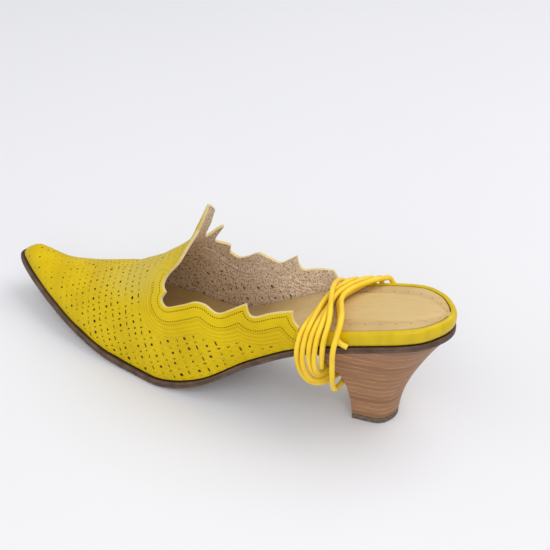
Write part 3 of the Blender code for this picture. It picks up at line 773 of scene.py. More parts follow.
# %% Places of the pinpricks
PRICK_ROWS = (0.0026, 0.0079)
PRICK_STEP = 0.00132
PRICK_RADIUS = 0.00038
PRICK_DEPTH = 0.0006


def prick_places(line_distance):
    """Points and normals at one distance from the edge, evenly spaced."""
    line, facing = [], []
    for column in range(len(net)):
        rows_up = np.flatnonzero(distance[column] > line_distance)
        if banded[column, -1] < 0.5 or not len(rows_up) or rows_up[-1] + 1 >= net.shape[1]:
            continue
        r = rows_up[-1]
        share = (distance[column, r] - line_distance) / (distance[column, r] - distance[column, r + 1])
        line.append(laid[column, r] + share * (laid[column, r + 1] - laid[column, r]))
        facing.append(normals[column, r])
    line, facing = np.array(line), np.array(facing)
    run = np.concatenate([[0], np.cumsum(np.linalg.norm(np.diff(line, axis=0), axis=1))])
    stops = np.arange(PRICK_STEP, run[-1], PRICK_STEP)
    even = np.array([np.interp(stops, run, line[:, k]) for k in range(3)]).T
    normal = np.array([np.interp(stops, run, facing[:, k]) for k in range(3)]).T
    near = np.minimum.reduce([np.linalg.norm(even - p, axis=1) for p in line[:: max(1, len(line) // 400)]])
    return [(p, n / np.linalg.norm(n)) for p, n, gap in zip(even, normal, near) if gap < 0.002]


pricks = [place for line_distance in PRICK_ROWS for place in prick_places(line_distance)]
print(len(pricks), "pinpricks")

# %% [markdown]
# ## Upper: sheet, wall and punch
#
# The net becomes a sheet, Solidify gives it its 1.6 mm, and one Boolean punches every hole at once.
# The punch is a single ten-sided pin, copied to each place, turned to the leather there and flattened
# where it cuts a slit. Solidify numbers the materials: outside, flesh side, cut edge. The punch
# brings a fourth for the walls of the holes.

# %% The sheet
sheet, column, row = laid_grid("upper_shell", len(net) - 1, net.shape[1] - 1, lambda c, r: laid[c, r])
add_chart(sheet, "pattern", np.stack([net_u[column, row], net_v[column, row]], -1))
edge_chart = np.stack([banded, distance / MM], -1)
add_chart(sheet, "edge", edge_chart[column, row])
face = sheet.data.polygons[len(sheet.data.polygons) // 2]
c, r = column[face.vertices[0]], row[face.vertices[0]]
if face.normal @ Vector(normals[c, r]) < 0:
    edit(sheet, (bpy.ops.mesh.flip_normals, {}))
edit(sheet, (bpy.ops.mesh.remove_doubles, {"threshold": 1e-6}))
for name in ("outside", "flesh", "cut", "punched"):
    sheet.data.materials.append(bpy.data.materials.new(name))
skin = sheet.modifiers.new("wall", "SOLIDIFY")
skin.thickness = WALL
skin.offset = -1
skin.material_offset = 1
skin.material_offset_rim = 2
apply_all(sheet)
print("wall:", len(sheet.data.polygons), "faces")

# %% The punch
PIN_SIDES = 8
PIN_REACH = 0.0032


def any_across(normal):
    across = np.cross(normal, (0.0, 0.0, 1.0))
    return across / np.linalg.norm(across)


def punch_pins():
    """One mesh of pins, each a copy of one cylinder primitive: long ones cut through, short ones prick."""
    bpy.ops.object.select_all(action="DESELECT")
    bpy.ops.mesh.primitive_cylinder_add(vertices=PIN_SIDES, radius=1, depth=2)
    pin = bpy.context.object
    shape = np.array([vertex.co for vertex in pin.data.vertices])
    faces = [tuple(face.vertices) for face in pin.data.polygons]
    points, sides = [], []
    for centre, normal, along, size, kind in holes:
        across = np.cross(normal, along)
        long_way, short_way = (across, along) if kind == "upright" else (along, across)
        reach = (ROUND_RADIUS, ROUND_RADIUS) if kind == "round" else (SLIT_LENGTH, SLIT_WIDTH)
        turned_pin = (
            shape[:, :1] * long_way * reach[0] * size
            + shape[:, 1:2] * short_way * reach[1] * size
            + shape[:, 2:] * normal * PIN_REACH
        )
        base = len(points)
        points += list(centre + turned_pin)
        sides += [tuple(base + k for k in face) for face in faces]
    for centre, normal in pricks:
        along = any_across(normal)
        short_pin = (
            shape[:, :1] * along * PRICK_RADIUS
            + shape[:, 1:2] * np.cross(normal, along) * PRICK_RADIUS
            + shape[:, 2:] * normal * PRICK_DEPTH
        )
        base = len(points)
        points += list(centre + short_pin)
        sides += [tuple(base + k for k in face) for face in faces]
    mesh = bpy.data.meshes.new("punch")
    mesh.from_pydata([tuple(map(float, p)) for p in points], [], sides)
    bpy.data.objects.remove(pin, do_unlink=True)
    made = bpy.data.objects.new("punch", mesh)
    bpy.context.scene.collection.objects.link(made)
    for name in ("outside", "flesh", "cut", "punched"):
        mesh.materials.append(bpy.data.materials[name])
    mesh.polygons.foreach_set("material_index", np.full(len(mesh.polygons), 3, np.int32))
    edit(made, (bpy.ops.mesh.normals_make_consistent, {"inside": False}))
    return made


punch = punch_pins()
cutting = sheet.modifiers.new("holes", "BOOLEAN")
cutting.operation = "DIFFERENCE"
cutting.object = punch
cutting.solver = "MANIFOLD"
before = len(sheet.data.polygons)
apply_all(sheet)
bpy.data.objects.remove(punch, do_unlink=True)
print("punched:", before, "faces before,", len(sheet.data.polygons), "after")

# %% [markdown]
# ## Upper: the finishes
#
# Outside, the leather is dyed a strong yellow that has faded to straw over the instep. Rings are
# pressed round the holes, and a fine grain breaks the gloss. The relief is a sum of heights that
# feeds one Bump node. Shade is painted into the colour as well: in the rings' grooves, in a disc at
# each hole's place and at the feet of the ridges.

# %% Yellow leather
RING_STEP = 1.35
RIDGE_FEET = (10.1, 12.3, 14.5, 16.6)  # mm from the edge, beside the ridges


def yellow_leather():
    finish = Finish("yellow_leather", coat=0.02, specular=0.13)
    where, x, y, z = finish.place()
    u, v = finish.chart("pattern")
    band, edge = finish.chart("edge")
    edge = edge + 40 * (1 - band)
    odd_row = (v.sum("FLOOR", v) % 2.0)
    odd_column = (u.sum("FLOOR", u) % 2.0)
    local_x = (u.sum("FRACT", u) - 0.5) * (HOLE_STEP / MM)
    local_y = (v.sum("FRACT", v) - 0.5) * (ROW_STEP / MM)
    near_x = local_x * (1 - 0.45 * odd_row)
    near_y = local_y * (1 - 0.45 * odd_column * (1 - odd_row))
    ring = (near_x * near_x + near_y * near_y) ** 0.5
    pressed = finish.shown(edge.ramp(15.5, 18.0), x.ramp(-0.232, -0.14, 0.3, 1.0))
    waves = (ring * (2 * math.pi / RING_STEP)).sum("COSINE", ring * (2 * math.pi / RING_STEP))
    dimple = ring.ramp(0.5, 1.1)
    grain = finish.noise(where, 0.0009, 3.0, 0.6)
    blotch = finish.noise(where, 0.018, 2.0)
    groove = abs(edge - 9.55).ramp(0.0, 0.5)
    # painted shade: the leather is darkened in lines at the feet of the ridges along the edge
    beside = sum(abs(edge - at).ramp(0.6, 0.0) for at in RIDGE_FEET) * band
    height = pressed * (0.4 * waves + 0.5 * dimple) + 0.35 * grain + 0.9 * groove
    faded = finish.faded(where, x, y, z, blotch)
    # painted shade: a dark disc in the dimple at the middle of each pattern cell, for the shade in the holes
    dark = pressed * (1 - ring.ramp(0.45, 1.2)) * 0.16
    colour = finish.mix(blotch.ramp(0.3, 0.7), (0.61, 0.42, 0.001), (0.69, 0.495, 0.002))
    # painted shade: the pressed rings are darker in their grooves
    colour = finish.mix(pressed * waves.ramp(0.2, -0.9) * 0.2, colour, (0.5, 0.35, 0.003))
    colour = finish.mix(faded, colour, (0.64, 0.495, 0.08))
    colour = finish.mix(dark, colour, (0.3, 0.2, 0.01))
    colour = finish.mix(beside * 0.3, colour, (0.36, 0.23, 0.002))
    colour = finish.mix((1 - edge.ramp(0.0, 0.9)) * 0.7, colour, (0.72, 0.6, 0.22))
    return finish.set(
        base_color=colour,
        roughness=0.42 + 0.25 * grain + 0.15 * faded,
        normal=finish.bump(height, 0.00022, 0.9),
    )


def shown(finish, *masks):
    total = masks[0]
    for mask in masks[1:]:
        total = total * mask
    return total


def faded(finish, where, x, y, z, blotch):
    """Mask of the straw patch on the instep, ragged at its border."""
    centre = finish.node("ShaderNodeVectorMath", {"operation": "SUBTRACT"}, {0: where, 1: FADED_PLACE})
    spread = finish.node("ShaderNodeVectorMath", {"operation": "DIVIDE"}, {0: centre, 1: FADED_SIZE})
    away = finish.node("ShaderNodeVectorMath", {"operation": "LENGTH"}, {0: spread}, 1)
    return (away + 0.5 * (blotch - 0.5)).ramp(1.15, 0.35) * 0.75


FADED_PLACE = (-0.143, -0.006, 0.054)
FADED_SIZE = (0.042, 0.023, 0.028)
Finish.shown = shown
Finish.faded = faded
leather = yellow_leather()
print("leather has", len(leather.node_tree.nodes), "nodes")


# %% Flesh side, cut edge and punched walls
def flesh_side():
    finish = Finish("flesh_side", roughness=0.95)
    where, x, y, z = finish.place()
    nap = finish.noise(where, 0.0009, 4.0, 0.75)
    fleck = finish.noise(where, 0.0028, 2.0)
    colour = finish.mix(nap.ramp(0.38, 0.53), (0.26, 0.175, 0.105), (0.86, 0.69, 0.52))
    colour = finish.mix(fleck.ramp(0.45, 0.75) * 0.4, colour, (0.5, 0.39, 0.28))
    return finish.set(base_color=colour, normal=finish.bump(nap, 0.0004, 0.8))


def cut_leather(name, light, shade):
    """Raw fibres, with painted shade where the edge is lasted under at the sole."""
    finish = Finish(name, roughness=0.9)
    where, *_ = finish.place()
    _, edge = finish.chart("edge")
    fibre = finish.noise(where, 0.0007, 3.0, 0.7)
    colour = finish.mix(edge.ramp(3.0, 5.0) * LASTED_SHADE_SHARE[name], finish.mix(fibre, shade, light), (0.05, 0.03, 0.015))
    return finish.set(base_color=colour, normal=finish.bump(fibre, 0.0003, 0.7))


# share of painted shade in the seam at the sole, for each cut face
LASTED_SHADE_SHARE = {"cut_edge": 1.0, "shaded_punched_wall": 0.0}


finished(
    sheet, "upper", "upper_leather",
    leather, flesh_side(),
    cut_leather("cut_edge", (0.8, 0.68, 0.36), (0.6, 0.46, 0.16)),
    # painted shade: the walls of the holes get two dark colours for the shade inside them
    cut_leather("shaded_punched_wall", (0.22, 0.14, 0.015), (0.1, 0.06, 0.008)),
)

# %% [markdown]
# ## Closed skins from the feather line
#
# Outsole, insole and the parts of the heel are closed bodies. Each is laid in rings: from the middle
# of its underside outwards, up its edge and back to the middle of its top. A row of the ring table
# says how far along the way from the midline to the edge the ring lies, how far outside the feather
# line the edge is, and its height.


# %% Ring bodies
def ring_body(name, steps, rings):
    """Closed skin: rings is a function that gives (way, out, height) of each ring for all points."""
    loop, plan_normal, spine = plan_loop(steps)
    table = rings(loop, share_at(loop[:, 0]))
    count = len(loop)

    def place(column, row):
        way, out, height = (table[k][row, column % count] for k in range(3))
        edge = loop[column % count] + out[:, None] * plan_normal[column % count]
        plan = spine[column % count] + way[:, None] * (edge - spine[column % count])
        return np.column_stack([plan, height])

    piece, column, row = laid_grid(name, count, len(table[0]) - 1, place)
    run = np.concatenate([[0], np.cumsum(np.linalg.norm(np.diff(loop, axis=0), axis=1))])
    run = np.append(run, run[-1] + np.linalg.norm(loop[0] - loop[-1]))
    way, out = table[0][row, column % count], table[1][row, column % count]
    width = np.linalg.norm(loop - spine, axis=1)[column % count]
    add_chart(piece, "rim", np.stack([run[column] / MM, ((1 - way) * width - out) / MM], -1))
    closed_up(piece)
    return piece


def spread_rows(rows, share, height):
    """Ring table from rows of (way, out), with the height that a function gives for each row."""
    way = np.repeat([[row[0]] for row in rows], len(share), axis=1)
    out = np.repeat([[row[1]] for row in rows], len(share), axis=1)
    return way, out, np.array([height(k) for k in range(len(rows))])


print("ring bodies ready")

# %% [markdown]
# ## Outsole
#
# Four millimetres of dark leather. The maker trims its edge round at the top, presses a fine groove
# along it and bevels it below, where the wax wears to a paler line.

# %% Outsole
SOLE_RINGS = (
    # way from the midline, outside the feather line, up from the underside, all but the first in mm
    (0.0, 0.0, 0.0), (0.35, 0.0, 0.0), (0.7, 0.0, 0.0), (0.93, 0.0, 0.0),
    (1.0, 0.3, 0.0), (1.0, 0.8, 0.0), (1.0, 1.35, 0.35), (1.0, 1.66, 0.85),
    (1.0, 1.7, 1.5), (1.0, 1.7, 2.35), (1.0, 1.48, 2.5), (1.0, 1.48, 2.65),
    (1.0, 1.68, 2.8), (1.0, 1.62, 3.5), (1.0, 1.35, 3.9), (1.0, 0.9, 4.0),
    (1.0, 0.2, 4.0), (0.93, 0.0, 4.0), (0.7, 0.0, 4.0), (0.35, 0.0, 4.0), (0.0, 0.0, 4.0),
)


def sole_rings(loop, share):
    rows = [(way, out * MM) for way, out, _ in SOLE_RINGS]
    way, out, height = spread_rows(rows, share, lambda k: sole_bottom(share) + SOLE_RINGS[k][2] * MM)
    return way, out * smooth(SOLE_LEDGE, 1, share), height


def sole_leather():
    finish = Finish("sole_leather", coat=0.2)
    where, x, y, z = finish.place()
    run, inside = finish.chart("rim")
    wax = finish.noise(where, 0.006, 3.0)
    fibre = finish.noise(where, 0.0007, 2.0)
    worn = finish.noise(where, 0.02, 2.0).ramp(0.35, 0.7)
    colour = finish.mix(wax.ramp(0.3, 0.75), (0.07, 0.038, 0.022), (0.135, 0.08, 0.052))
    # painted shade: the top face and the ledge next to the upper go nearly black, for the shade of the seam
    colour = finish.mix(inside.ramp(-1.5, -0.6), colour, (0.03, 0.016, 0.008))
    under = finish.node("ShaderNodeNewGeometry", {}, {}, "Normal")
    down = finish.node("ShaderNodeSeparateXYZ", {}, {0: under}, 2)
    colour = finish.mix(down.ramp(-0.25, -0.55) * worn * 0.7, colour, (0.33, 0.25, 0.2))
    colour = finish.mix(down.ramp(-0.9, -0.97), colour, (0.2, 0.13, 0.085))
    return finish.set(
        base_color=colour,
        roughness=0.5 + 0.3 * fibre,
        normal=finish.bump(fibre + 0.6 * wax, 0.00018, 0.7),
    )


outsole = ring_body("outsole_leather", 110, sole_rings)
finished(outsole, "outsole", "outsole_leather", sole_leather(), angle=50)

# %% [markdown]
# ## Insole
#
# A tan leather sock over the board. A soft pad under the heel stands a little proud, and small dents
# of nails ring it. Under the ball of the foot the leather has fine creases.

# %% Insole
PAD_FRONT, PAD_FULL = -0.034, -0.022
PAD_RISE = 0.0012
PAD_INSIDE = (8.2, 9.9)  # mm from the insole's edge where the pad starts and is full
INSOLE_WAYS = (1.0, 0.985, 0.96, 0.93, 0.89, 0.85, 0.81, 0.77, 0.73, 0.69, 0.65, 0.6, 0.5, 0.4, 0.3, 0.15, 0.0)
INSOLE_CREASES = ((-0.083, 0.25, 0.00035), (-0.094, -0.18, 0.0003), (-0.104, 0.12, 0.0003))
CREASE_WIDTH = 0.0016


def insole_rings(loop, share):
    inset = -(RAND_WALL + GAP) - FOOTBED_TOE_INSET * np.clip((share - TOE_START) / (1 - TOE_START), 0, 1) ** 2
    thick = FOOTBED_THICKNESS * smooth(FOOTBED_SECTIONS, 1, share)
    base = sole_top(share) + GAP
    sides = ((1.0, 0.0, 0.0), (1.0, 0.0, 0.4), (1.0, 0.0, 0.78), (1.0, -0.1, 0.87), (1.0, -0.3, 0.95))
    rows = [(0.0, 0, 0), (0.5, 0, 0), (0.9, 0, 0)] + list(sides) + [(w, -0.75, 1.0) for w in INSOLE_WAYS]
    way = np.array([[row[0]] * len(share) for row in rows])
    out = np.array([inset + row[1] * MM for row in rows])
    spine = np.stack([loop[:, 0], middle(share)], -1)
    width = np.linalg.norm(loop - spine, axis=1)
    width = (width + width[-np.arange(len(width))]) / 2  # the same on both sides, so the midline closes
    height = []
    for w, _, lift in rows:
        inside = (1 - w) * width / MM
        x = loop[:, 0]
        pad = soft(inside, *PAD_INSIDE) * soft(x, PAD_FRONT, PAD_FULL) if lift == 1.0 else 0
        y = middle(share) + w * (loop[:, 1] - middle(share))
        crease = 0
        if lift == 1.0:
            for at, lean, depth in INSOLE_CREASES:
                crease = crease + depth * np.exp(-(((x - at - lean * y) / CREASE_WIDTH) ** 2))
        height.append(base + lift * thick + PAD_RISE * pad - crease)
    return way, out, np.array(height)


NAIL_STEP, NAIL_INSIDE, NAIL_RADIUS = 7.8, 6.4, 0.42


def insole_leather():
    finish = Finish("insole_leather")
    where, x, y, z = finish.place()
    run, inside = finish.chart("rim")
    grain = finish.noise(where, 0.0008, 3.0, 0.6)
    blotch = finish.noise(where, 0.022, 3.0)
    streak = finish.noise(finish.stretched(where, (0.25, 2.2, 1.0)), 0.004, 2.0)
    inner = inside - (RAND_WALL + GAP) / MM
    pad = inner.ramp(*PAD_INSIDE) * x.ramp(PAD_FRONT, PAD_FULL)
    off = inner - NAIL_INSIDE
    away = ((run / NAIL_STEP).sum("FRACT", run / NAIL_STEP) - 0.5) * NAIL_STEP
    nail = ((away * away + off * off) ** 0.5).ramp(NAIL_RADIUS + 0.25, NAIL_RADIUS - 0.15) * x.ramp(-0.062, -0.055)
    rim_line = abs(inner - PAD_INSIDE[0]).ramp(0.5, 0.0) * x.ramp(PAD_FRONT, PAD_FULL)
    colour = finish.mix(blotch.ramp(0.3, 0.7), (0.53, 0.36, 0.15), (0.61, 0.435, 0.2))
    colour = finish.mix(pad * 0.6, colour, (0.64, 0.465, 0.195))
    colour = finish.mix(streak.ramp(0.52, 0.75) * 0.25, colour, (0.42, 0.28, 0.14))
    colour = finish.mix(rim_line * 0.5, colour, (0.4, 0.27, 0.13))
    # painted shade: the nail dents are darkened
    colour = finish.mix(nail * 0.8, colour, (0.2, 0.12, 0.06))
    # painted shade: the insole darkens within 0.6 mm of its edge, in the seam against the rand
    colour = finish.mix(inner.ramp(0.6, 0.0) * 0.7, colour, (0.2, 0.13, 0.06))
    return finish.set(
        base_color=colour,
        roughness=0.5 + 0.2 * grain,
        normal=finish.bump(grain * 0.5 - nail + streak * 0.4, 0.0002, 0.7),
    )


def stretched(finish, where, scale):
    return finish.node("ShaderNodeVectorMath", {"operation": "MULTIPLY"}, {0: where, 1: scale})


Finish.stretched = stretched
insole = ring_body("insole", 120, insole_rings)
finished(insole, "footbed", "footbed_leather", insole_leather())

# %% [markdown]
# ## Rand
#
# A strip of glossy yellow leather hides the insole's edge round the heel. Its section is a soft bulge.
# The strip is laid as a grid that closes round its section, and its two ends are filled.

# %% Rand
RAND_SECTION = (
    (-1.00, 0.00), (-0.45, 0.00), (0.10, 0.00), (0.42, 0.06), (0.66, 0.14), (0.84, 0.25), (0.96, 0.37),
    (1.00, 0.48), (0.97, 0.60), (0.86, 0.72), (0.66, 0.83), (0.38, 0.91), (0.05, 0.965), (-0.35, 0.995),
    (-0.75, 1.00), (-1.00, 0.96),
)


def rand_path():
    """Plan points and normals from the medial end round the heel to the lateral end."""
    loop, plan_normal, _ = plan_loop(110)
    count, path = len(loop), []
    ends = {side: TOPLINE[-1][0 if side < 0 else 2] * SHOE_LENGTH - RAND_BUTT for side in (LATERAL, MEDIAL)}
    reach = HEEL_BACK - loop[:, 0]
    medial = [k for k in range(count // 2 + 1, count) if reach[k] < ends[MEDIAL] - GAP]
    lateral = [k for k in range(count // 2) if reach[k] < ends[LATERAL] - GAP]
    path = [(loop[k], plan_normal[k]) for k in medial + lateral]
    for side, at in ((MEDIAL, 0), (LATERAL, len(path) + 1)):
        point = np.array(feather(ends[side] / SHOE_LENGTH, side))
        path.insert(at, (point, path[0 if at == 0 else -1][1]))
    return path


def rand_strip():
    path = rand_path()
    spot, plan_normal = np.array([p for p, _ in path]), np.array([n for _, n in path])
    section = np.array(RAND_SECTION)

    def place(column, row):
        out, lift = section[row % len(section)].T
        plan = spot[column] + (out * np.where(out > 0, RAND_BULGE, RAND_WALL))[:, None] * plan_normal[column]
        return np.column_stack([plan, sole_top(share_at(plan[:, 0])) + GAP + lift * RAND_HEIGHT])

    piece, column, row = laid_grid("rand", len(path) - 1, len(section), place)
    edit(piece, (bpy.ops.mesh.remove_doubles, {"threshold": 1e-6}),
         (bpy.ops.mesh.select_all, {"action": "DESELECT"}), (bpy.ops.mesh.select_non_manifold, {}),
         (bpy.ops.mesh.edge_face_add, {}), (bpy.ops.mesh.select_all, {"action": "SELECT"}),
         (bpy.ops.mesh.normals_make_consistent, {"inside": False}))
    return piece


def rand_leather():
    finish = Finish("rand_leather", coat=0.15, specular=0.22)
    where, x, y, z = finish.place()
    pull = finish.noise(finish.stretched(where, (1.0, 1.0, 0.35)), 0.005, 3.0)
    grain = finish.noise(where, 0.0012, 2.0)
    colour = finish.mix(pull.ramp(0.3, 0.7), (0.58, 0.405, 0.001), (0.65, 0.46, 0.002))
    return finish.set(
        base_color=colour,
        roughness=0.22 + 0.18 * grain,
        normal=finish.bump(0.4 * pull + 0.15 * grain, 0.0003, 0.3),
    )


rand = rand_strip()
finished(rand, "heel_rand", "rand_leather", rand_leather())

# %% [markdown]
# ## Heel
#
# The heel is built of leather lifts, glued and sanded flush. Between two lifts a paler line of glue
# shows, and the edge dips there by a hair. So each lift gets rings of its own, and the finish counts
# the lifts by height. They are bowed a little, as the lifts follow the seat.

# %% Heel
HEEL_STEPS = 44
LIFT = 0.0034
HEEL_RINGS = 96
LIFT_GROOVE = 0.00016
HEEL_HIGH = 0.05
LIFT_BOW = 0.0012


def seat_outline(steps):
    """Sole outline behind the heel's front lip, closed by a straight front edge."""
    shares = HEEL_LIP / SHOE_LENGTH * (1 - np.cos(np.linspace(0, math.pi / 2, steps + 1)))
    lateral, medial = (np.stack(feather(shares, side), -1) for side in (LATERAL, MEDIAL))
    across = np.linspace(0, 1, 13)[1:-1, None]
    front = lateral[-1] + across * (medial[-1] - lateral[-1])
    loop = np.concatenate([lateral, front, medial[:0:-1]])
    grow = outward(np.concatenate([lateral, medial[:0:-1]]))
    grow[len(lateral) - 1], grow[len(lateral)] = (0, -1), (0, 1)
    grow = np.insert(grow, len(lateral), np.zeros((len(front), 2)), 0)
    return loop + HEEL_SEAT_EDGE * grow


def heel_outlines():
    seat = seat_outline(HEEL_STEPS)
    front, rear = seat[:, 0].min(), seat[:, 0].max()
    run = (seat[:, 0] - front) / (rear - front)
    foot_x = -HEEL_FOOT_FRONT + run * (HEEL_FOOT_FRONT + HEEL_FOOT_BACK)
    foot_y = seat[:, 1] * HEEL_FOOT_WIDTH / np.ptp(seat[:, 1])
    return seat, np.stack([foot_x, foot_y - (foot_y.max() + foot_y.min()) / 2], -1), run


def lift_phase(z, x):
    """Lifts counted from the floor; the higher ones bow upwards to the front and the back."""
    return z / LIFT * (1 - LIFT_BOW / HEEL_HIGH * ((x - 0.004) / 0.02) ** 2)


def stacked_heel():
    seat, foot, run = heel_outlines()
    low = TOP_PIECE_THICKNESS + GAP
    top = sole_bottom(share_at(seat[:, 0])) - GAP
    shrink = outward(seat)

    def place(column, row):
        k = column % len(seat)
        level = row / HEEL_RINGS
        front, rear, side = (smooth(HEEL_FLARE, c, level) for c in (1, 2, 3))
        along = front + (rear - front) * run[k]
        x = foot[k, 0] + along * (seat[k, 0] - foot[k, 0])
        y = foot[k, 1] + side * (seat[k, 1] - foot[k, 1])
        z = low + level * (top[k] - low)
        phase = lift_phase(z, x) % 1
        groove = LIFT_GROOVE * np.exp(-((np.minimum(phase, 1 - phase) / 0.09) ** 2))
        return np.column_stack([x - groove * shrink[k, 0], y - groove * shrink[k, 1], z])

    piece, column, row = laid_grid("stacked_heel", len(seat), HEEL_RINGS, place)
    edit(piece, (bpy.ops.mesh.remove_doubles, {"threshold": 1e-6}),
         (bpy.ops.mesh.select_all, {"action": "DESELECT"}), (bpy.ops.mesh.select_non_manifold, {}),
         (bpy.ops.mesh.edge_face_add, {}), (bpy.ops.mesh.select_all, {"action": "SELECT"}),
         (bpy.ops.mesh.normals_make_consistent, {"inside": False}))
    return piece


def stack_finish():
    finish = Finish("stacked_lifts", coat=0.1)
    where, x, y, z = finish.place()
    from_middle = (x - 0.004) / 0.02
    wobble = finish.noise(where, 0.012, 2.0)
    phase = z / LIFT * (1 - LIFT_BOW / HEEL_HIGH * from_middle * from_middle) + 0.07 * (wobble - 0.5)
    part = phase.sum("FRACT", phase)
    line = abs(part - 0.5).ramp(0.36, 0.49)
    lift = finish.node("ShaderNodeTexWhiteNoise", {"noise_dimensions": "1D"}, {"W": phase.sum("FLOOR", phase)})
    fibre = finish.noise(finish.stretched(where, (1.0, 1.0, 9.0)), 0.004, 4.0, 0.65)
    broken = finish.noise(finish.stretched(where, (1.0, 1.0, 4.0)), 0.011, 2.0)
    colour = finish.mix(lift, (0.28, 0.13, 0.055), (0.38, 0.19, 0.086))
    colour = finish.mix(fibre.ramp(0.35, 0.7) * 0.5, colour, (0.2, 0.11, 0.065))
    colour = finish.mix(line * broken.ramp(0.3, 0.6) * 0.8, colour, (0.5, 0.3, 0.17))
    # painted shade under the outsole: the heel darkens towards its top
    colour = finish.mix(z.ramp(0.048, 0.062) * 0.45, colour, (0.14, 0.085, 0.06))
    return finish.set(
        base_color=colour,
        roughness=0.45 + 0.25 * fibre,
        normal=finish.bump(0.5 * fibre - 0.4 * line, 0.0002, 0.6),
    )


heel = stacked_heel()
finished(heel, "heel", "heel_stack", stack_finish(), angle=50)

# %% [markdown]
# ## Top piece
#
# The wear layer is a rubber plate with the heel foot's outline. Its lower edge is rounded, and grit
# has scratched it.

# %% Top piece
TOP_RINGS = ((0.86, 0.0), (0.955, 0.0), (0.985, 0.06), (1.0, 0.2), (1.0, 0.55), (1.0, 0.93), (0.985, 1.0), (0.86, 1.0))


def rubber_plate():
    _, foot, _ = heel_outlines()
    centre = foot.mean(0)
    rows = np.array(TOP_RINGS)

    def place(column, row):
        plan = centre + rows[row, 0][:, None] * (foot[column % len(foot)] - centre)
        return np.column_stack([plan, rows[row, 1] * TOP_PIECE_THICKNESS])

    piece, column, row = laid_grid("rubber_top_piece", len(foot), len(rows) - 1, place)
    edit(piece, (bpy.ops.mesh.remove_doubles, {"threshold": 1e-6}),
         (bpy.ops.mesh.select_all, {"action": "DESELECT"}), (bpy.ops.mesh.select_non_manifold, {}),
         (bpy.ops.mesh.edge_face_add, {}), (bpy.ops.mesh.select_all, {"action": "SELECT"}),
         (bpy.ops.mesh.normals_make_consistent, {"inside": False}))
    return piece


def rubber():
    finish = Finish("rubber", roughness=0.8)
    where, *_ = finish.place()
    grit = finish.noise(where, 0.0012, 4.0, 0.7)
    colour = finish.mix(grit.ramp(0.4, 0.7), (0.11, 0.085, 0.062), (0.2, 0.16, 0.12))
    return finish.set(base_color=colour, normal=finish.bump(grit, 0.0002, 0.7))


plate = rubber_plate()
finished(plate, "top_piece", "top_piece_rubber", rubber())

# %% [markdown]
# ## The cord
#
# One long round cord is wound round the waist of the shoe. Each turn passes over the insole, where
# all of them are bunched, and hangs as a slack loop in front of the heel. Its route has a row for
# each turn and is settled: strands that crowd each other are pushed apart until they lie side by
# side. It repeats the frame's route, and a smooth curve through the same points takes out the corners.

# %% Route of the cord
CORD_DIAMETER = 0.0028
CORD_PITCH = 0.0032
# Over the footbed: x at the medial edge, at the bunch and at the lateral edge, then the strand's
# layer at the bunch and at the lateral edge
TIE_OVER = (
    (-0.0095, -0.0265, -0.0140, 1.0, 1.0),
    (-0.0178, -0.0298, -0.0244, 1.0, 0.0),
    (-0.0218, -0.0315, -0.0276, 0.0, 0.0),
    (-0.0258, -0.0331, -0.0308, 1.0, 0.0),
    (-0.0296, -0.0345, -0.0340, 0.0, 0.0),
    (-0.0334, -0.0315, -0.0206, 2.1, 0.0),
    (-0.0136, -0.0282, -0.0145, 0.0, 0.0),
)
# Under the shank: x and height of the slack loop, and how far it stands out beside the outsole at
# the lateral and at the medial side
TIE_UNDER = (
    (-0.0146, 0.0247, 0.0030, 0.0030),
    (-0.0214, 0.0334, 0.0012, 0.0008),
    (-0.0202, 0.0304, 0.0000, 0.0004),
    (-0.0189, 0.0275, 0.0012, 0.0000),
    (-0.0178, 0.0247, 0.0000, 0.0000),
    (-0.0246, 0.0366, 0.0000, 0.0000),
)
# Round an edge: distance outside the feather line, height over the outsole's top, share of a layer
# that lies outwards there
TIE_EDGE = ((-0.0015, 0.0108, 0.1), (0.0026, 0.0097, 0.6), (0.0042, 0.0062, 1.0), (0.0043, 0.0012, 1.0))
# The cord's two ends: x, distance outside the feather line, height over the outsole's top
TIE_START = ((-0.0040, 0.0036, 0.0021), (-0.0062, 0.0038, 0.0040))
TIE_END = ((-0.0118, 0.0038, 0.0040), (-0.0088, 0.0036, 0.0021))
# Shares of the way from the bunch to the medial and to the lateral edge
TIE_WAYS = ((0.68, 0.34), (0.00, 0.26, 0.52, 0.76))
# Half a slack loop: share of the way in x to its lowest point, distance inwards, share of its drop
TIE_LOOP = ((0.00, 0.0000, 0.00), (0.12, 0.0000, 0.50), (0.42, 0.0022, 0.87), (0.75, 0.0075, 0.99))
TIE_LOOP_Y = 0.011
TIE_LOOP_START = -0.003
TIE_BUNCH_Y = 0.004
TIE_TOP = 0.0108
TIE_HOLD = (0.0017, -0.0040, 0.0086)
TIE_FRONT = -0.0341
SETTLE_ROUNDS = 60
SETTLE_PUSH = 0.4
CHORD_PARTS = 4
FREE_RUN = 4 * CORD_DIAMETER
EASE_ROUNDS = 40
BOW = 0.0019
BOW_REACH = 0.008
BOW_ENDS = 0.02
LAST_ROUNDS = 6


def edge_point(x, side, out, lift):
    """Point beside the feather line, in height from the outsole's top."""
    share = share_at(x)
    return x, float(feather(share, side)[1]) + side * out, float(sole_top(share)) + lift


def over_points(row):
    """One strand over the footbed, from the medial edge to the lateral one."""
    medial_x, bunch_x, lateral_x, bunch_layer, lateral_layer = row
    medial = [edge_point(medial_x, 1, out, lift) for out, lift, _ in TIE_EDGE[::-1]]
    lateral = []
    for out, lift, lean in TIE_EDGE:
        raised = lateral_layer * CORD_PITCH
        lateral.append(edge_point(lateral_x, -1, out + lean * raised, lift + (1 - lean) * raised))
    route = []
    for end, end_layer, way in zip((medial[-1], lateral[0]), (0, lateral_layer), TIE_WAYS):
        for share in way:
            x = bunch_x + share * (end[0] - bunch_x)
            y = TIE_BUNCH_Y + share * (end[1] - TIE_BUNCH_Y)
            layer = bunch_layer + share * share * (end_layer - bunch_layer)
            route.append((x, y, float(sole_top(share_at(x))) + TIE_TOP + layer * CORD_PITCH))
    return medial + route + lateral


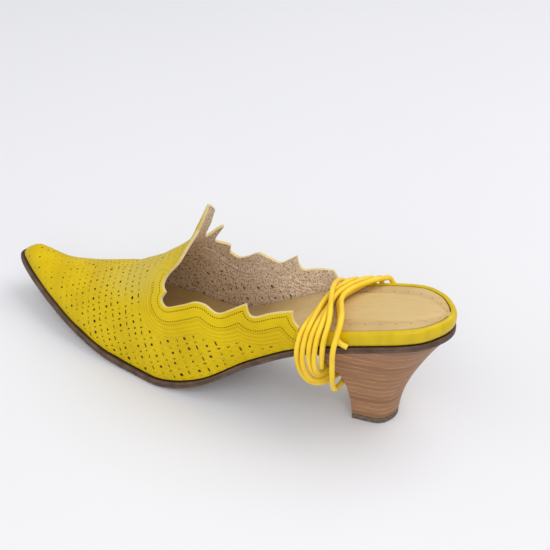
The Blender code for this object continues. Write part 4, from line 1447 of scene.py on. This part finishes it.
def under_points(lateral_x, medial_x, row):
    """One slack loop under the shank, from the lateral edge to the medial one."""
    low_x, low_z, *stands = row
    points = []
    for side, edge_x, stand in ((-1, lateral_x, stands[0]), (1, medial_x, stands[1])):
        x, y, z = edge_point(edge_x, side, TIE_EDGE[-1][0] + stand, TIE_LOOP_START)
        half = [
            (x + along * (low_x - x), y - side * inwards, z + drop * (low_z - z))
            for along, inwards, drop in TIE_LOOP
        ]
        half.append((low_x, side * TIE_LOOP_Y, low_z))
        points += half if side < 0 else half[::-1]
    return points


def clear_of_shoe(line):
    """Points moved out of the cord's reach round the footbed, the rand and the outsole."""
    line[:, 0] = np.maximum(line[:, 0], TIE_FRONT)
    share = share_at(line[:, 0])
    side = np.sign(line[:, 1])
    half_width = np.where(side < 0, *half_widths(share))
    out, lift = abs(line[:, 1]) - half_width, line[:, 2] - sole_top(share)
    edge, low, high = TIE_HOLD
    off = np.stack([out - np.minimum(out, edge), lift - np.clip(lift, low, high)])
    far = np.maximum(np.linalg.norm(off, axis=0), GAP / 10)
    push = np.maximum(CORD_DIAMETER / 2 + 2 * GAP - far, 0) * off / far
    line[:, 1] += side * push[0]
    line[:, 2] += push[1]
    return line


def settled(route):
    """The route with strands that crowd each other pushed apart, and kept off what they lie round."""
    line = np.array(route, float)
    for _ in range(SETTLE_ROUNDS):
        chord = np.repeat(np.arange(len(line) - 1), CHORD_PARTS)
        share = np.tile((np.arange(CHORD_PARTS) + 0.5) / CHORD_PARTS, len(line) - 1)[:, None]
        spots = (1 - share) * line[chord] + share * line[chord + 1]
        run = np.concatenate([[0], np.cumsum(np.linalg.norm(np.diff(spots, axis=0), axis=1))])
        away = spots[:, None] - spots[None]
        gap = np.linalg.norm(away, axis=2)
        crowded = (gap < CORD_PITCH) & (abs(run[:, None] - run) > FREE_RUN)
        short = np.where(crowded, (CORD_PITCH - gap) / np.maximum(gap, GAP), 0)
        wanted = away * short[..., None]
        push = SETTLE_PUSH * (wanted.max(1) + wanted.min(1))
        for weight, end in ((1 - share, 0), (share, 1)):
            moved = np.zeros_like(line)
            np.add.at(moved, chord + end, weight * push / 2)
            line += moved
        line = clear_of_shoe(line)
    return line


def tie_route():
    """The cord's points, from the seam over the outsole to the same seam opposite."""
    route = [edge_point(x, MEDIAL, out, lift) for x, out, lift in TIE_START]
    route += over_points(TIE_OVER[0])[2:]
    for k, row in enumerate(TIE_UNDER):
        route += under_points(TIE_OVER[k][2], TIE_OVER[k + 1][0], row)
        route += over_points(TIE_OVER[k + 1])
    route = route[:-1] + [edge_point(x, LATERAL, out, lift) for x, out, lift in TIE_END]
    return settled(route)


def eased(line, steps):
    """Smooth curve through the line's points, steps to a chord."""
    padded = np.concatenate([[2 * line[0] - line[1]], line, [2 * line[-1] - line[-2]]])
    made = []
    for k in range(1, len(padded) - 2):
        a, b, c, d = padded[k - 1 : k + 3]
        ab, bc, cd = (max(np.linalg.norm(q - p), 1e-9) ** 0.5 for p, q in ((a, b), (b, c), (c, d)))
        start = (b - a) / ab * bc - (c - a) / (ab + bc) * bc + (c - b)
        end = (c - b) - (d - b) / (bc + cd) * bc + (d - c) / cd * bc
        for t in np.arange(steps) / steps:
            h = (1 + 2 * t) * (1 - t) ** 2, t * (1 - t) ** 2, t * t * (3 - 2 * t), -t * t * (1 - t)
            made.append(h[0] * b + h[1] * start + h[2] * c + h[3] * end)
    return np.array(made + [line[-1]])


def slackened(line):
    """The route arched over the insole and bowed out beside the sole, and left alone at the edge itself."""
    run = np.concatenate([[0], np.cumsum(np.linalg.norm(np.diff(line, axis=0), axis=1))])
    share = share_at(line[:, 0])
    side = np.sign(line[:, 1])
    out = abs(line[:, 1]) - np.where(side < 0, *half_widths(share))
    lift = line[:, 2] - sole_top(share)
    free = BOW * soft(np.minimum(run, run[-1] - run), 0, BOW_ENDS)
    inwards = np.maximum(TIE_HOLD[0] - out, 0) / BOW_REACH
    down = np.maximum(TIE_HOLD[2] - lift, 0) / BOW_REACH
    line[:, 2] += free * inwards * np.exp(1 - inwards) * soft(lift, 0.003, TIE_HOLD[2])
    line[:, 1] += side * free * down * np.exp(1 - down) * soft(out, -0.004, 0)
    return line


route = eased(tie_route(), 6)
for _ in range(EASE_ROUNDS):
    route[1:-1] += 0.25 * (route[:-2] + route[2:] - 2 * route[1:-1])
    route[1:-1] = clear_of_shoe(route[1:-1])
route = slackened(route)
for _ in range(LAST_ROUNDS):
    route[1:-1] += 0.25 * (route[:-2] + route[2:] - 2 * route[1:-1])
cord_length = float(np.linalg.norm(np.diff(route, axis=0), axis=1).sum())
print("cord:", len(route), "points,", round(cord_length, 4), "m")


# %% The cord's tube and leather
def cord_leather():
    finish = Finish("cord_leather", coat=0.25)
    where, x, y, z = finish.place()
    stain = finish.noise(where, 0.009, 2.0)
    grain = finish.noise(where, 0.0009, 3.0, 0.6)
    colour = finish.mix(stain.ramp(0.3, 0.7), (0.85, 0.55, 0.016), (0.9, 0.63, 0.03))
    colour = finish.mix(grain.ramp(0.6, 0.8) * 0.3, colour, (0.6, 0.34, 0.02))
    return finish.set(
        base_color=colour,
        roughness=0.36 + 0.25 * grain,
        normal=finish.bump(grain, 0.00012, 0.6),
    )


line = bpy.data.curves.new("tie_cord", "CURVE")
line.dimensions = "3D"
line.bevel_depth = CORD_DIAMETER / 2
line.bevel_resolution = 4
line.use_fill_caps = True
spline = line.splines.new("POLY")
spline.points.add(len(route) - 1)
spline.points.foreach_set("co", np.column_stack([route, np.ones(len(route))]).ravel())
cord = bpy.data.objects.new("tie_cord", line)
bpy.context.scene.collection.objects.link(cord)
line.materials.append(cord_leather())
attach(cord, "root")
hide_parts("tie")
